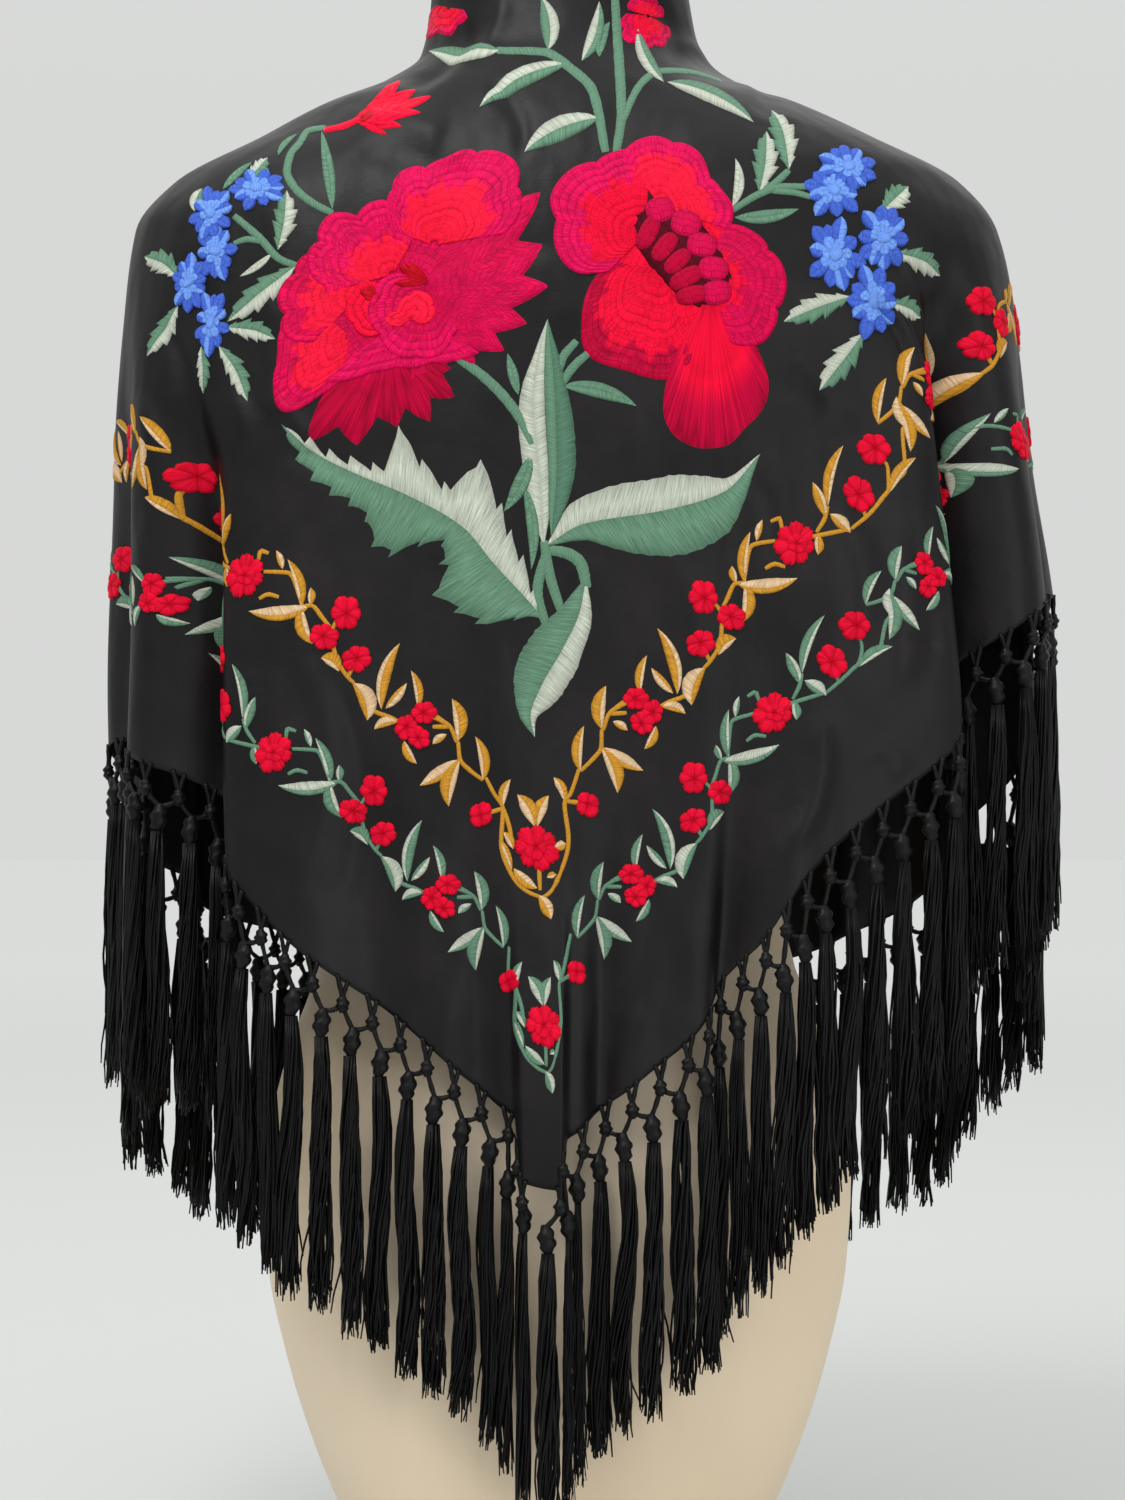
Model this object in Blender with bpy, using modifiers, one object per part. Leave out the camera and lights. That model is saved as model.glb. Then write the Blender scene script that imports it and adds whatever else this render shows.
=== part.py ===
"""Triangular flamenco shawl worn round a limbless dress form.

Units are metres, +Z is up, the displayed back of the shawl faces -Y and the
front edges hang at +Y. The origin is the middle of the form's flat underside.

The cloth is one right-angled triangle. It is laid round the form on a carrier
surface: a stack of rounded-square sections, one row of SHAWL_SECTIONS each.
A place on the carrier is given by "across", the distance in metres from the
centre back along the reference section (positive to the right as seen from
the back), and by its height. The folds move it along the carrier's normal and
sideways. The fringe hangs below the two legs of the triangle.
"""

from collections import namedtuple
import math

import bpy
import numpy as np

# --- Driving sizes -----------------------------------------------------------
CLOTH_WALL = 0.0015
FORM_GAP = 0.0009  # between the curves; the faceted walls come closer or part a little
REFERENCE_HEIGHT = 0.50  # the section on which "across" is measured
FRONT_EDGE_X = 0.016  # half the gap between the two front edges
YOKE_LENGTH = 0.20  # cloth length laid over neck and shoulder
YOKE_ROWS = 8
SKIRT_ROWS = 10
COLUMN_SPACING = 0.0220
FOLD_COLUMN_SPACING = 0.0100

FRINGE_LENGTH = 0.190
FRINGE_PITCH = 0.0200
FRINGE_PART = 0.0011  # straight down, so that a sloping hem still parts by 0.3 mm or more
STRIP_DEPTH = 0.0030
UPPER_KNOT_DROP = 0.0115
UPPER_KNOT_HALF = 0.0026
UPPER_KNOT_SHARE = 0.62  # of NET_THICK
NECK_HALF = 0.0036
MESH_DROP = 0.0078  # from the middle of two upper knots to the lower one
MESH_SHIFT = 0.22  # sideways, towards the higher upper knot
CORD_FALL = 0.0036  # least height between an upper knot and the lower one
LOWER_KNOT_LENGTH = 0.0130
LOWER_KNOT_HALF = 0.0038
LOWER_KNOT_LEAN = 0.0015
KNOT_TOP_HALF = 0.0027
KNOT_WAIST = 0.55  # how far down the lower knot is thickest
END_DROP = 0.0110  # the lower knots at the fringe's ends hang from one cord
END_SHIFT = 0.0040
TASSEL_TOP_HALF = 0.0031
TASSEL_TOP_SHARE = 0.75
TASSEL_ROOM = 0.0118  # two tassels closer than this are made thinner
TASSEL_END_HALF = 0.0044
NET_THICK = 0.0066  # thickest part of the fringe: knots and tassels
THIN_SHARE = 0.30  # of NET_THICK, for the strip and the single cords
TASSEL_RAGGED = 0.0030
FRINGE_END = 0.0030  # the strip stops this far short of the cloth's corner
HEM_REACH = 0.0080  # how much hem settles which way a knot faces
SNAP = 0.0012

FORM_COLUMNS = 34

# --- Tables: one row for each section, station or fold -----------------------
Section = namedtuple("Section", "height left right back front square")
SHAWL_SECTIONS = [
    Section(0.975, 0.0720, 0.0720, 0.0640, 0.0580, 2.0),
    Section(0.930, 0.0740, 0.0780, 0.0680, 0.0600, 2.0),
    Section(0.900, 0.0800, 0.0850, 0.0760, 0.0680, 2.0),
    Section(0.882, 0.1040, 0.1060, 0.0880, 0.0800, 2.1),
    Section(0.868, 0.1400, 0.1460, 0.0980, 0.0920, 2.2),
    Section(0.848, 0.1760, 0.1880, 0.1090, 0.1040, 2.4),
    Section(0.822, 0.2240, 0.2360, 0.1190, 0.1180, 2.6),
    Section(0.795, 0.2450, 0.2560, 0.1250, 0.1300, 2.8),
    Section(0.740, 0.2520, 0.2680, 0.1300, 0.1440, 2.9),
    Section(0.670, 0.2580, 0.2780, 0.1320, 0.1530, 3.0),
    Section(0.590, 0.2610, 0.2900, 0.1320, 0.1540, 3.0),
    Section(0.500, 0.2620, 0.2980, 0.1320, 0.1500, 3.0),
    Section(0.400, 0.2600, 0.2980, 0.1330, 0.1460, 2.9),
    Section(0.330, 0.2560, 0.2920, 0.1350, 0.1440, 2.8),
    Section(0.250, 0.2500, 0.2850, 0.1360, 0.1420, 2.7),
]

Station = namedtuple("Station", "across height")
# The edge that goes round the neck and down to the two front edges.
TOP_EDGE = [
    Station(-0.670, 0.800),
    Station(-0.610, 0.812),
    Station(-0.520, 0.856),
    Station(-0.400, 0.912),
    Station(-0.300, 0.940),
    Station(-0.180, 0.954),
    Station(0.000, 0.962),
    Station(0.180, 0.954),
    Station(0.320, 0.940),
    Station(0.440, 0.912),
    Station(0.570, 0.856),
    Station(0.660, 0.812),
    Station(0.730, 0.800),
]
# The two fringed legs of the triangle, from corner to corner by the tip.
HEM = [
    Station(-0.670, 0.345),
    Station(-0.620, 0.352),
    Station(-0.520, 0.376),
    Station(-0.430, 0.412),
    Station(-0.360, 0.462),
    Station(-0.300, 0.500),
    Station(-0.235, 0.484),
    Station(-0.190, 0.428),
    Station(-0.150, 0.388),
    Station(-0.090, 0.342),
    Station(-0.042, 0.300),
    Station(-0.022, 0.262),
    Station(-0.010, 0.256),
    Station(0.004, 0.262),
    Station(0.018, 0.284),
    Station(0.060, 0.318),
    Station(0.086, 0.340),
    Station(0.114, 0.384),
    Station(0.140, 0.425),
    Station(0.175, 0.458),
    Station(0.224, 0.496),
    Station(0.290, 0.572),
    Station(0.325, 0.582),
    Station(0.360, 0.584),
    Station(0.430, 0.510),
    Station(0.500, 0.425),
    Station(0.570, 0.376),
    Station(0.660, 0.352),
    Station(0.730, 0.345),
]

# height > 0 stands out of the cloth, < 0 is a trough. "half" is half its
# width, "flat" widens its top without widening its sides, "lean" moves its
# bottom sideways, "slant" is its sideways run for each metre down.
Fold = namedtuple("Fold", "name across height half flat top fade lean slant")
FOLDS = [
    Fold("tip_strip", -0.010, 0.0105, 0.0070, 0.0125, 0.47, 0.14, 0.0, 0.0),
    Fold("tip_right", 0.029, -0.0110, 0.0110, 0.0, 0.50, 0.16, -0.003, 0.02),
    Fold("right_step", 0.100, -0.0150, 0.0100, 0.0, 0.54, 0.18, -0.006, 0.03),
    Fold("right_ridge", 0.142, 0.0080, 0.0180, 0.0, 0.60, 0.20, 0.0, -0.15),
    Fold("right_panel_edge", 0.256, -0.0400, 0.0170, 0.0, 0.79, 0.11, -0.012, 0.0),
    Fold("right_side_back", 0.335, -0.0120, 0.0200, 0.0, 0.78, 0.16, 0.0, 0.02),
    Fold("right_side_front", 0.405, -0.0160, 0.0190, 0.0, 0.78, 0.16, 0.004, 0.05),
    Fold("right_front_outer", 0.480, -0.0220, 0.0190, 0.0, 0.78, 0.16, 0.005, 0.03),
    Fold("right_front_middle", 0.560, -0.0180, 0.0170, 0.0, 0.74, 0.18, 0.004, 0.01),
    Fold("right_front_edge", 0.640, -0.0150, 0.0160, 0.0, 0.72, 0.20, 0.0, 0.0),
    Fold("tip_left", -0.046, -0.0080, 0.0140, 0.0, 0.52, 0.18, 0.002, -0.02),
    Fold("left_soft", -0.100, -0.0070, 0.0160, 0.0, 0.60, 0.22, 0.0, -0.03),
    Fold("left_ridge", -0.150, 0.0070, 0.0200, 0.0, 0.62, 0.20, 0.0, 0.05),
    Fold("left_panel_edge", -0.213, -0.0360, 0.0160, 0.0, 0.72, 0.13, 0.011, 0.0),
    Fold("left_side_back", -0.285, -0.0150, 0.0190, 0.0, 0.78, 0.20, 0.0, -0.02),
    Fold("left_side_front", -0.350, -0.0220, 0.0190, 0.0, 0.78, 0.20, -0.004, -0.03),
    Fold("left_front_outer", -0.425, -0.0260, 0.0190, 0.0, 0.78, 0.20, -0.004, -0.03),
    Fold("left_front_middle", -0.505, -0.0240, 0.0180, 0.0, 0.74, 0.20, -0.004, 0.0),
    Fold("left_front_edge", -0.582, -0.0180, 0.0160, 0.0, 0.72, 0.20, 0.0, 0.0),
]

FORM_SECTIONS = [
    Section(0.000, 0.0780, 0.0780, 0.0600, 0.0600, 2.2),
    Section(0.006, 0.0930, 0.0930, 0.0700, 0.0680, 2.2),
    Section(0.025, 0.1110, 0.1110, 0.0820, 0.0780, 2.2),
    Section(0.059, 0.1290, 0.1290, 0.0930, 0.0880, 2.2),
    Section(0.102, 0.1460, 0.1460, 0.1020, 0.0960, 2.2),
    Section(0.142, 0.1580, 0.1580, 0.1080, 0.1010, 2.2),
    Section(0.195, 0.1690, 0.1690, 0.1120, 0.1030, 2.2),
    Section(0.247, 0.1720, 0.1720, 0.1110, 0.1010, 2.2),
    Section(0.310, 0.1600, 0.1600, 0.1020, 0.0960, 2.2),
    Section(0.380, 0.1360, 0.1360, 0.0880, 0.0900, 2.2),
    Section(0.440, 0.1260, 0.1260, 0.0830, 0.0880, 2.2),
    Section(0.520, 0.1360, 0.1360, 0.0890, 0.1010, 2.2),
    Section(0.600, 0.1540, 0.1540, 0.1000, 0.1230, 2.2),
    Section(0.660, 0.1690, 0.1690, 0.1080, 0.1300, 2.2),
    Section(0.720, 0.1900, 0.1900, 0.1120, 0.1220, 2.3),
    Section(0.765, 0.2140, 0.2160, 0.1120, 0.1120, 2.4),
    Section(0.795, 0.2280, 0.2340, 0.1080, 0.1040, 2.4),
]
FORM_NECK_RADIUS = 0.058
FORM_NECK_TOP = 0.940
FORM_SHOULDER_RIDGE = [  # heights of the sections copied from inside the cloth
    0.812, 0.826, 0.840, 0.853, 0.865, 0.876, 0.888, 0.902,
]
FORM_SHOULDER_DEPTH = 0.86  # the form's depth there, as a share of the cloth's
FORM_ROUND_EDGE = 0.006

Finish = namedtuple("Finish", "name colour roughness metallic")
BLACK_CREPE = Finish("shawl_cloth", (0.012, 0.010, 0.012, 1.0), 0.55, 0.0)
BLACK_SILK_CORD = Finish("fringe_cord", (0.010, 0.010, 0.012, 1.0), 0.45, 0.0)
BEIGE_SHELL = Finish("form_shell", (0.62, 0.51, 0.38, 1.0), 0.40, 0.0)


# --- Smooth tables -----------------------------------------------------------
def smooth_between(places, values, wanted):
    """Cubic curve through a table, with slopes that never overshoot a row."""
    places, values = np.asarray(places, float), np.asarray(values, float)
    steps = np.diff(places)
    rises = np.diff(values) / steps
    same_way = rises[:-1] * rises[1:] > 0
    inner = np.zeros(len(rises) - 1)
    both = rises[:-1][same_way] + rises[1:][same_way]
    inner[same_way] = 2 * rises[:-1][same_way] * rises[1:][same_way] / both
    slopes = np.concatenate([rises[:1], inner, rises[-1:]])
    wanted = np.clip(wanted, places[0], places[-1])
    row = np.clip(np.searchsorted(places, wanted, side="right") - 1, 0, len(steps) - 1)
    step = steps[row]
    part = (wanted - places[row]) / step
    return (
        (1 + 2 * part) * (1 - part) ** 2 * values[row]
        + part * (1 - part) ** 2 * step * slopes[row]
        + part**2 * (3 - 2 * part) * values[row + 1]
        + part**2 * (part - 1) * step * slopes[row + 1]
    )


def section_at(sections, heights):
    """The columns of a section table, read at each height."""
    rows = sorted(sections)
    places = [row.height for row in rows]
    return [
        smooth_between(places, [row[column] for row in rows], heights)
        for column in range(1, len(Section._fields))
    ]


def station_height(stations, across):
    return smooth_between(
        [station.across for station in stations],
        [station.height for station in stations],
        across,
    )


def smooth_step(value):
    value = np.clip(value, 0.0, 1.0)
    return value**2 * (3 - 2 * value)


# --- The carrier: the surface that the cloth lies on -------------------------
def ring_point(sections, angle, height):
    """Rounded-square section: angle 0 is the centre back, +90 deg is at +X."""
    left, right, back, front, square = section_at(sections, height)
    sine, cosine = np.sin(angle), np.cos(angle)
    width = np.where(sine < 0, left, right)
    depth = np.where(cosine > 0, back, front)
    power = 2 / square
    x = width * np.sign(sine) * np.abs(sine) ** power
    y = -depth * np.sign(cosine) * np.abs(cosine) ** power
    return np.stack([x, y, height + 0 * x], axis=-1)


def reference_ruler(side):
    """(distance, angle) along the reference section from the centre back."""
    angle = side * np.linspace(0, math.pi, 4001)
    ring = ring_point(SHAWL_SECTIONS, angle, np.full_like(angle, REFERENCE_HEIGHT))
    runs = np.linalg.norm(np.diff(ring, axis=0), axis=1)
    return np.concatenate([[0.0], np.cumsum(runs)]), angle


RULERS = {side: reference_ruler(side) for side in (-1, 1)}


def angle_of(across):
    left = np.interp(-across, *RULERS[-1])
    right = np.interp(across, *RULERS[1])
    return np.where(across < 0, left, right)


def front_edge(side):
    """The across value of one front edge, just short of the centre front."""
    distance, angle = RULERS[side]
    left, right, _, _, square = section_at(SHAWL_SECTIONS, np.array([REFERENCE_HEIGHT]))
    width = float((left if side < 0 else right)[0])
    from_front = math.asin((FRONT_EDGE_X / width) ** (float(square[0]) / 2))
    return side * float(np.interp(math.pi - from_front, np.abs(angle), distance))


def carrier(across, height):
    return ring_point(SHAWL_SECTIONS, angle_of(across), height)


def carrier_normal(across, height):
    """Unit normal that points away from the form."""
    small = 2e-4
    along = carrier(across + small, height) - carrier(across - small, height)
    up = carrier(across, height + small) - carrier(across, height - small)
    normal = np.cross(along, up)
    return normal / np.linalg.norm(normal, axis=-1, keepdims=True)


def fold_shape(fold, across, height):
    """1 along the fold's middle, 0 outside it, for each place."""
    middle = fold.across + fold.slant * (REFERENCE_HEIGHT - height)
    beyond = np.maximum(np.abs(across - middle) - fold.flat, 0.0)
    return np.exp(-((beyond / fold.half) ** 2)) * smooth_step((fold.top - height) / fold.fade)


def drape(across, height):
    """A place of the flat carrier moved into its folds: the cloth's outside."""
    sideways = np.zeros_like(across)
    outward = np.zeros_like(across)
    for fold in FOLDS:
        shape = fold_shape(fold, across, height)
        sideways = sideways + fold.lean * shape
        outward = outward + fold.height * shape
    normal = carrier_normal(across, height)
    return carrier(across + sideways, height) + outward[..., None] * normal


# --- The cloth ---------------------------------------------------------------
def cloth_columns():
    """Across values, closer together where a fold turns the cloth."""
    ends = front_edge(-1), front_edge(1)
    fine = np.linspace(*ends, 6001)
    spacing = np.full_like(fine, COLUMN_SPACING)
    for fold in FOLDS:
        reach = 1.5 * fold.half + fold.flat
        near = np.exp(-(((fine - fold.across) / reach) ** 4))
        spacing = spacing + near * (FOLD_COLUMN_SPACING - spacing)
    count = np.concatenate([[0.0], np.cumsum(np.diff(fine) / spacing[1:])])
    return np.interp(np.linspace(0, count[-1], int(count[-1]) + 1), count, fine)


def column_heights(across):
    """For each column, the heights of its rows, spaced along the cloth."""
    samples = np.linspace(0, 1, 241)[:, None]
    top, hem = station_height(TOP_EDGE, across), station_height(HEM, across)
    heights = top + (hem - top) * samples
    points = carrier(across + 0 * heights, heights)
    runs = np.linalg.norm(np.diff(points, axis=0), axis=2)
    lengths = np.concatenate([np.zeros((1, len(across))), np.cumsum(runs, axis=0)])
    rows = []
    for column in range(len(across)):
        whole = lengths[-1, column]
        yoke = np.linspace(0, YOKE_LENGTH, YOKE_ROWS + 1)[:-1]
        skirt = np.linspace(YOKE_LENGTH, whole, SKIRT_ROWS + 1)
        wanted = np.concatenate([yoke, skirt])
        rows.append(np.interp(wanted, lengths[:, column], heights[:, column]))
    return np.array(rows).T


def grid_mesh(name, points):
    """An open surface from a grid of points [row, column, xyz]."""
    rows, columns = points.shape[:2]
    index = np.arange(rows * columns).reshape(rows, columns)
    corners = [index[:-1, :-1], index[1:, :-1], index[1:, 1:], index[:-1, 1:]]
    faces = np.stack(corners, axis=-1).reshape(-1, 4)
    mesh = bpy.data.meshes.new(name)
    mesh.from_pydata(points.reshape(-1, 3).tolist(), [], faces.tolist())
    mesh.shade_smooth()
    return mesh


def add_object(name, mesh, finish, collection):
    piece = bpy.data.objects.new(name, mesh)
    collection.objects.link(piece)
    mesh.materials.append(material_for(finish))
    return piece


def material_for(finish):
    found = bpy.data.materials.get(finish.name)
    if found:
        return found
    material = bpy.data.materials.new(finish.name)
    material.use_nodes = True
    shader = material.node_tree.nodes["Principled BSDF"]
    shader.inputs["Base Color"].default_value = finish.colour
    shader.inputs["Roughness"].default_value = finish.roughness
    shader.inputs["Metallic"].default_value = finish.metallic
    return material


def thicken(piece, thickness, offset):
    wall = piece.modifiers.new("wall", "SOLIDIFY")
    wall.thickness = thickness
    wall.offset = offset
    return wall


def build_cloth(collection):
    across = cloth_columns()
    heights = column_heights(across)
    points = drape(across + 0 * heights, heights)
    cloth = add_object("shawl_cloth", grid_mesh("shawl_cloth", points), BLACK_CREPE, collection)
    thicken(cloth, CLOTH_WALL, -1.0)
    return cloth


# --- The fringe --------------------------------------------------------------
def level_normals(line):
    """Horizontal normals of a line of points, to the right of its run."""
    runs = np.diff(line, axis=0)
    square = np.stack([runs[:, 1], -runs[:, 0], 0 * runs[:, 0]], axis=1)
    square /= np.linalg.norm(square, axis=1, keepdims=True)
    normals = np.concatenate([square[:1], square[:-1] + square[1:], square[-1:]])
    return normals / np.linalg.norm(normals, axis=1, keepdims=True)


class HemRuler:
    """Measures along one leg's hem, from the tip outwards, on the cloth's own facets."""

    def __init__(self, side):
        tip = next(fold.across for fold in FOLDS if fold.name == "tip_strip")
        columns = cloth_columns()
        self.across = np.concatenate([[tip], columns[side * (columns - tip) > 0.001][::side]])
        height = station_height(HEM, self.across)
        outside = drape(self.across, height)
        self.points = outside - side * level_normals(outside) * CLOTH_WALL / 2
        runs = np.linalg.norm(np.diff(self.points, axis=0), axis=1)
        self.length = np.concatenate([[0.0], np.cumsum(runs)])

    def point(self, distance):
        columns = [np.interp(distance, self.length, self.points[:, axis]) for axis in range(3)]
        return np.array(columns)

    def level_direction(self, distance):
        """Horizontal unit vector along the hem, away from the tip."""
        middle = min(max(distance, HEM_REACH), self.length[-1] - HEM_REACH)
        ahead = self.point(middle + HEM_REACH) - self.point(middle - HEM_REACH)
        ahead[2] = 0.0
        return ahead / np.linalg.norm(ahead)


def below(point, drop, sideways=0.0, direction=(0, 0, 0)):
    return point - np.array([0, 0, drop]) + sideways * np.asarray(direction)


class NetMesh:
    """Collects the flat net's points, its faces and each point's share of the thickness."""

    def __init__(self):
        self.points, self.faces, self.shares = [], [], []

    def add(self, point, share):
        self.points.append(tuple(float(value) for value in point))
        self.shares.append(share)
        return len(self.points) - 1

    def across(self, place, half, direction, share):
        """Two points, one on each side of a place."""
        return [self.add(below(place, 0, side * half, direction), share) for side in (-1, 1)]


LowerKnot = namedtuple("LowerKnot", "number place direction lean hem_height")


def upper_places(start, pitch, units):
    return [start + (unit + 0.5) * pitch for unit in range(units)]


def lower_knots(hem, start, pitch, units, first):
    """Where each lower knot hangs between the two upper knots that carry it."""
    uppers = [below(hem.point(place), UPPER_KNOT_DROP) for place in upper_places(start, pitch, units)]
    knots = []
    for number in range(first, units + 1):
        here = start + number * pitch
        direction = hem.level_direction(here)
        if 0 < number < units:
            inner, outer = uppers[number - 1], uppers[number]
            rise = outer[2] - inner[2]
            place = below((inner + outer) / 2, MESH_DROP, MESH_SHIFT * rise, direction)
            place[2] = min(place[2], inner[2] - CORD_FALL, outer[2] - CORD_FALL)
            lean = math.copysign(LOWER_KNOT_LEAN, rise)
        else:
            side, only = (-1, uppers[0]) if number == 0 else (1, uppers[-1])
            place = below(only, END_DROP, side * END_SHIFT, direction)
            lean = 0.0
        knots.append(LowerKnot(number, place, direction, lean, hem.point(here)[2]))
    return knots


def room_shares(knots):
    """How much of its full size each lower knot and tassel keeps where they crowd."""
    plan = np.array([knot.place[:2] for knot in knots])
    apart = np.linalg.norm(plan[:, None] - plan[None], axis=2)
    np.fill_diagonal(apart, TASSEL_ROOM)
    return np.minimum(1.0, apart.min(axis=1) / TASSEL_ROOM)


def tassel_end_drop(number):
    """The hem-to-end length of one tassel: the ends are a little uneven."""
    return FRINGE_LENGTH - TASSEL_RAGGED * (0.5 + 0.5 * math.sin(2.3 * number))


def snapped(place, corners):
    """The place, moved onto a corner of the hem that is almost there."""
    nearest = min(corners, key=lambda corner: abs(corner - place))
    return nearest if abs(nearest - place) < SNAP else place


def add_strip(net, hem, start, pitch, units):
    """The strip under the hem. Returns, for each neck, the strip points it starts from."""
    middles = upper_places(start, pitch, units)
    corners = [float(corner) for corner in hem.length if start < corner < start + units * pitch]
    neck_ends = [
        tuple(snapped(middle + side * NECK_HALF, corners) for side in (-1, 1)) for middle in middles
    ]
    edges = sorted({start, start + units * pitch, *corners, *(edge for ends in neck_ends for edge in ends)})
    rows = [
        [net.add(below(hem.point(edge), drop), THIN_SHARE) for edge in edges]
        for drop in (FRINGE_PART, FRINGE_PART + STRIP_DEPTH)
    ]
    for upper, lower in zip(zip(rows[0], rows[0][1:]), zip(rows[1], rows[1][1:])):
        net.faces.append((upper[0], lower[0], lower[1], upper[1]))
    return [rows[1][edges.index(low) : edges.index(high) + 1] for low, high in neck_ends]


def add_upper_knot(net, hem, place, neck):
    """Gathers a neck of the strip into a knot. Returns the knot's lower edge."""
    direction = hem.level_direction(place)
    knot = below(hem.point(place), UPPER_KNOT_DROP)
    near, far = net.across(knot, UPPER_KNOT_HALF, direction, UPPER_KNOT_SHARE)
    middle = net.add(knot, THIN_SHARE)
    net.faces.append((neck[0], near, middle, far, *reversed(neck[1:])))
    return near, middle, far


def add_lower_knot(net, knot, room):
    """A lower knot and its tassel. Returns the knot's upper edge."""
    direction = knot.direction
    waist = below(knot.place, KNOT_WAIST * LOWER_KNOT_LENGTH, knot.lean / 2, direction)
    foot = below(knot.place, LOWER_KNOT_LENGTH, knot.lean, direction)
    end = foot.copy()
    end[2] = knot.hem_height - tassel_end_drop(knot.number)
    near, far = net.across(knot.place, KNOT_TOP_HALF * room, direction, THIN_SHARE)
    middle = net.add(knot.place, THIN_SHARE)
    rows = [
        net.across(waist, LOWER_KNOT_HALF * room, direction, room),
        net.across(foot, TASSEL_TOP_HALF * room, direction, TASSEL_TOP_SHARE * room),
        net.across(end, TASSEL_END_HALF * room, direction, room),
    ]
    net.faces.append((near, rows[0][0], rows[0][1], far, middle))
    for upper, lower in zip(rows, rows[1:]):
        net.faces.append((upper[0], lower[0], lower[1], upper[1]))
    return near, middle, far


def build_fringe(name, side, start, first_tassel, collection):
    """One leg's fringe: strip, two rows of knots, the cords between them and the tassels."""
    hem = HemRuler(side)
    run = hem.length[-1] - start - FRINGE_END
    units = round(run / FRINGE_PITCH)
    pitch = run / units
    net = NetMesh()
    necks = add_strip(net, hem, start, pitch, units)
    uppers = [
        add_upper_knot(net, hem, place, neck)
        for place, neck in zip(upper_places(start, pitch, units), necks)
    ]
    knots = lower_knots(hem, start, pitch, units, first_tassel)
    for knot, room in zip(knots, room_shares(knots)):
        near, middle, far = add_lower_knot(net, knot, room)
        if knot.number > 0:
            _, cord_near, cord_far = uppers[knot.number - 1]
            net.faces.append((cord_near, near, middle, cord_far))
        if knot.number < units:
            cord_near, cord_far, _ = uppers[knot.number]
            net.faces.append((cord_near, middle, far, cord_far))
    mesh = bpy.data.meshes.new(name)
    mesh.from_pydata(net.points, [], net.faces)
    fringe = add_object(name, mesh, BLACK_SILK_CORD, collection)
    group = fringe.vertex_groups.new(name="thickness")
    for index, share in enumerate(net.shares):
        group.add([index], share, "REPLACE")
    wall = thicken(fringe, NET_THICK, 0.0)
    wall.vertex_group = group.name
    return fringe


# --- The dress form ----------------------------------------------------------
def form_rings():
    """Sections of the form, the shoulders copied from inside the cloth."""
    inset = CLOTH_WALL + FORM_GAP
    rings = list(FORM_SECTIONS)
    for height in FORM_SHOULDER_RIDGE:
        left, right, back, front, square = section_at(SHAWL_SECTIONS, np.array([height]))
        rings.append(
            Section(
                height - inset,
                float(left[0]) - inset,
                float(right[0]) - inset,
                FORM_SHOULDER_DEPTH * float(back[0]),
                FORM_SHOULDER_DEPTH * float(front[0]),
                float(square[0]),
            )
        )
    neck = FORM_NECK_RADIUS
    for height, radius in (
        (FORM_NECK_TOP - FORM_ROUND_EDGE, neck),
        (FORM_NECK_TOP, neck - FORM_ROUND_EDGE),
    ):
        rings.append(Section(height, radius, radius, radius, radius, 2.0))
    return rings


def build_form(collection):
    angle = np.linspace(0, 2 * math.pi, FORM_COLUMNS, endpoint=False)
    rings = form_rings()
    points = [
        tuple(point)
        for ring in rings
        for point in ring_point(rings, angle, np.full_like(angle, ring.height))
    ]
    faces = []
    for row in range(len(rings) - 1):
        for column in range(FORM_COLUMNS):
            beside = (column + 1) % FORM_COLUMNS
            low, high = row * FORM_COLUMNS, (row + 1) * FORM_COLUMNS
            faces.append((low + column, low + beside, high + beside, high + column))
    faces.append(tuple(reversed(range(FORM_COLUMNS))))
    last = (len(rings) - 1) * FORM_COLUMNS
    faces.append(tuple(range(last, last + FORM_COLUMNS)))
    mesh = bpy.data.meshes.new("dress_form")
    mesh.from_pydata(points, [], faces)
    mesh.shade_smooth()
    return add_object("dress_form", mesh, BEIGE_SHELL, collection)


def main():
    for leftover in list(bpy.data.objects):
        bpy.data.objects.remove(leftover, do_unlink=True)
    collection = bpy.data.collections.new("flamenco_shawl")
    bpy.context.scene.collection.children.link(collection)
    build_form(collection)
    build_cloth(collection)
    build_fringe("fringe_left", -1, 0.004, 1, collection)
    build_fringe("fringe_right", 1, 0.001, 0, collection)


main()
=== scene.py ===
"""Looks of the triangular flamenco shawl worn round a limbless dress form.

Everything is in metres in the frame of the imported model: +Z up, the displayed
back of the shawl faces -Y and +X is to the right as seen from the camera.

The cloth is laid round the form on the same carrier sections, hem, neck edge
and folds as its solid. A place on the cloth is (across, height): across is the
distance from the centre back along the reference section, height is Z. The
embroidery is drawn flat, either in those two or as it is seen from straight
behind, and is then carried on to the draped cloth.
"""

from __future__ import annotations

import logging
import math
from dataclasses import dataclass, field
from enum import Enum
from typing import Callable, Iterable, Sequence

import bpy
import numpy as np
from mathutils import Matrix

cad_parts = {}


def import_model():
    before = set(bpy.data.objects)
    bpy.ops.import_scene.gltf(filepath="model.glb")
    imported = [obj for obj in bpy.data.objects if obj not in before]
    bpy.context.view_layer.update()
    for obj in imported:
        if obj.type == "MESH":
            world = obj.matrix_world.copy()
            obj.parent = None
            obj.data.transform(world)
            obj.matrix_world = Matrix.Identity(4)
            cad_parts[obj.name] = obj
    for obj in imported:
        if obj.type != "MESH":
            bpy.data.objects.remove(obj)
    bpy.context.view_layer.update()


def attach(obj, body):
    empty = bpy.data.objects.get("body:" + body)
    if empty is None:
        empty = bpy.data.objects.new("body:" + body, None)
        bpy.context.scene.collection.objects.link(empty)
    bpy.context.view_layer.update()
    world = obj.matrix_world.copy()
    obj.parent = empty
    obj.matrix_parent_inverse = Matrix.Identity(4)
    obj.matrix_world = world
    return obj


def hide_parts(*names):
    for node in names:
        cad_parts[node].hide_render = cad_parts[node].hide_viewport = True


LOG = logging.getLogger("flamenco_shawl")


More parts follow.
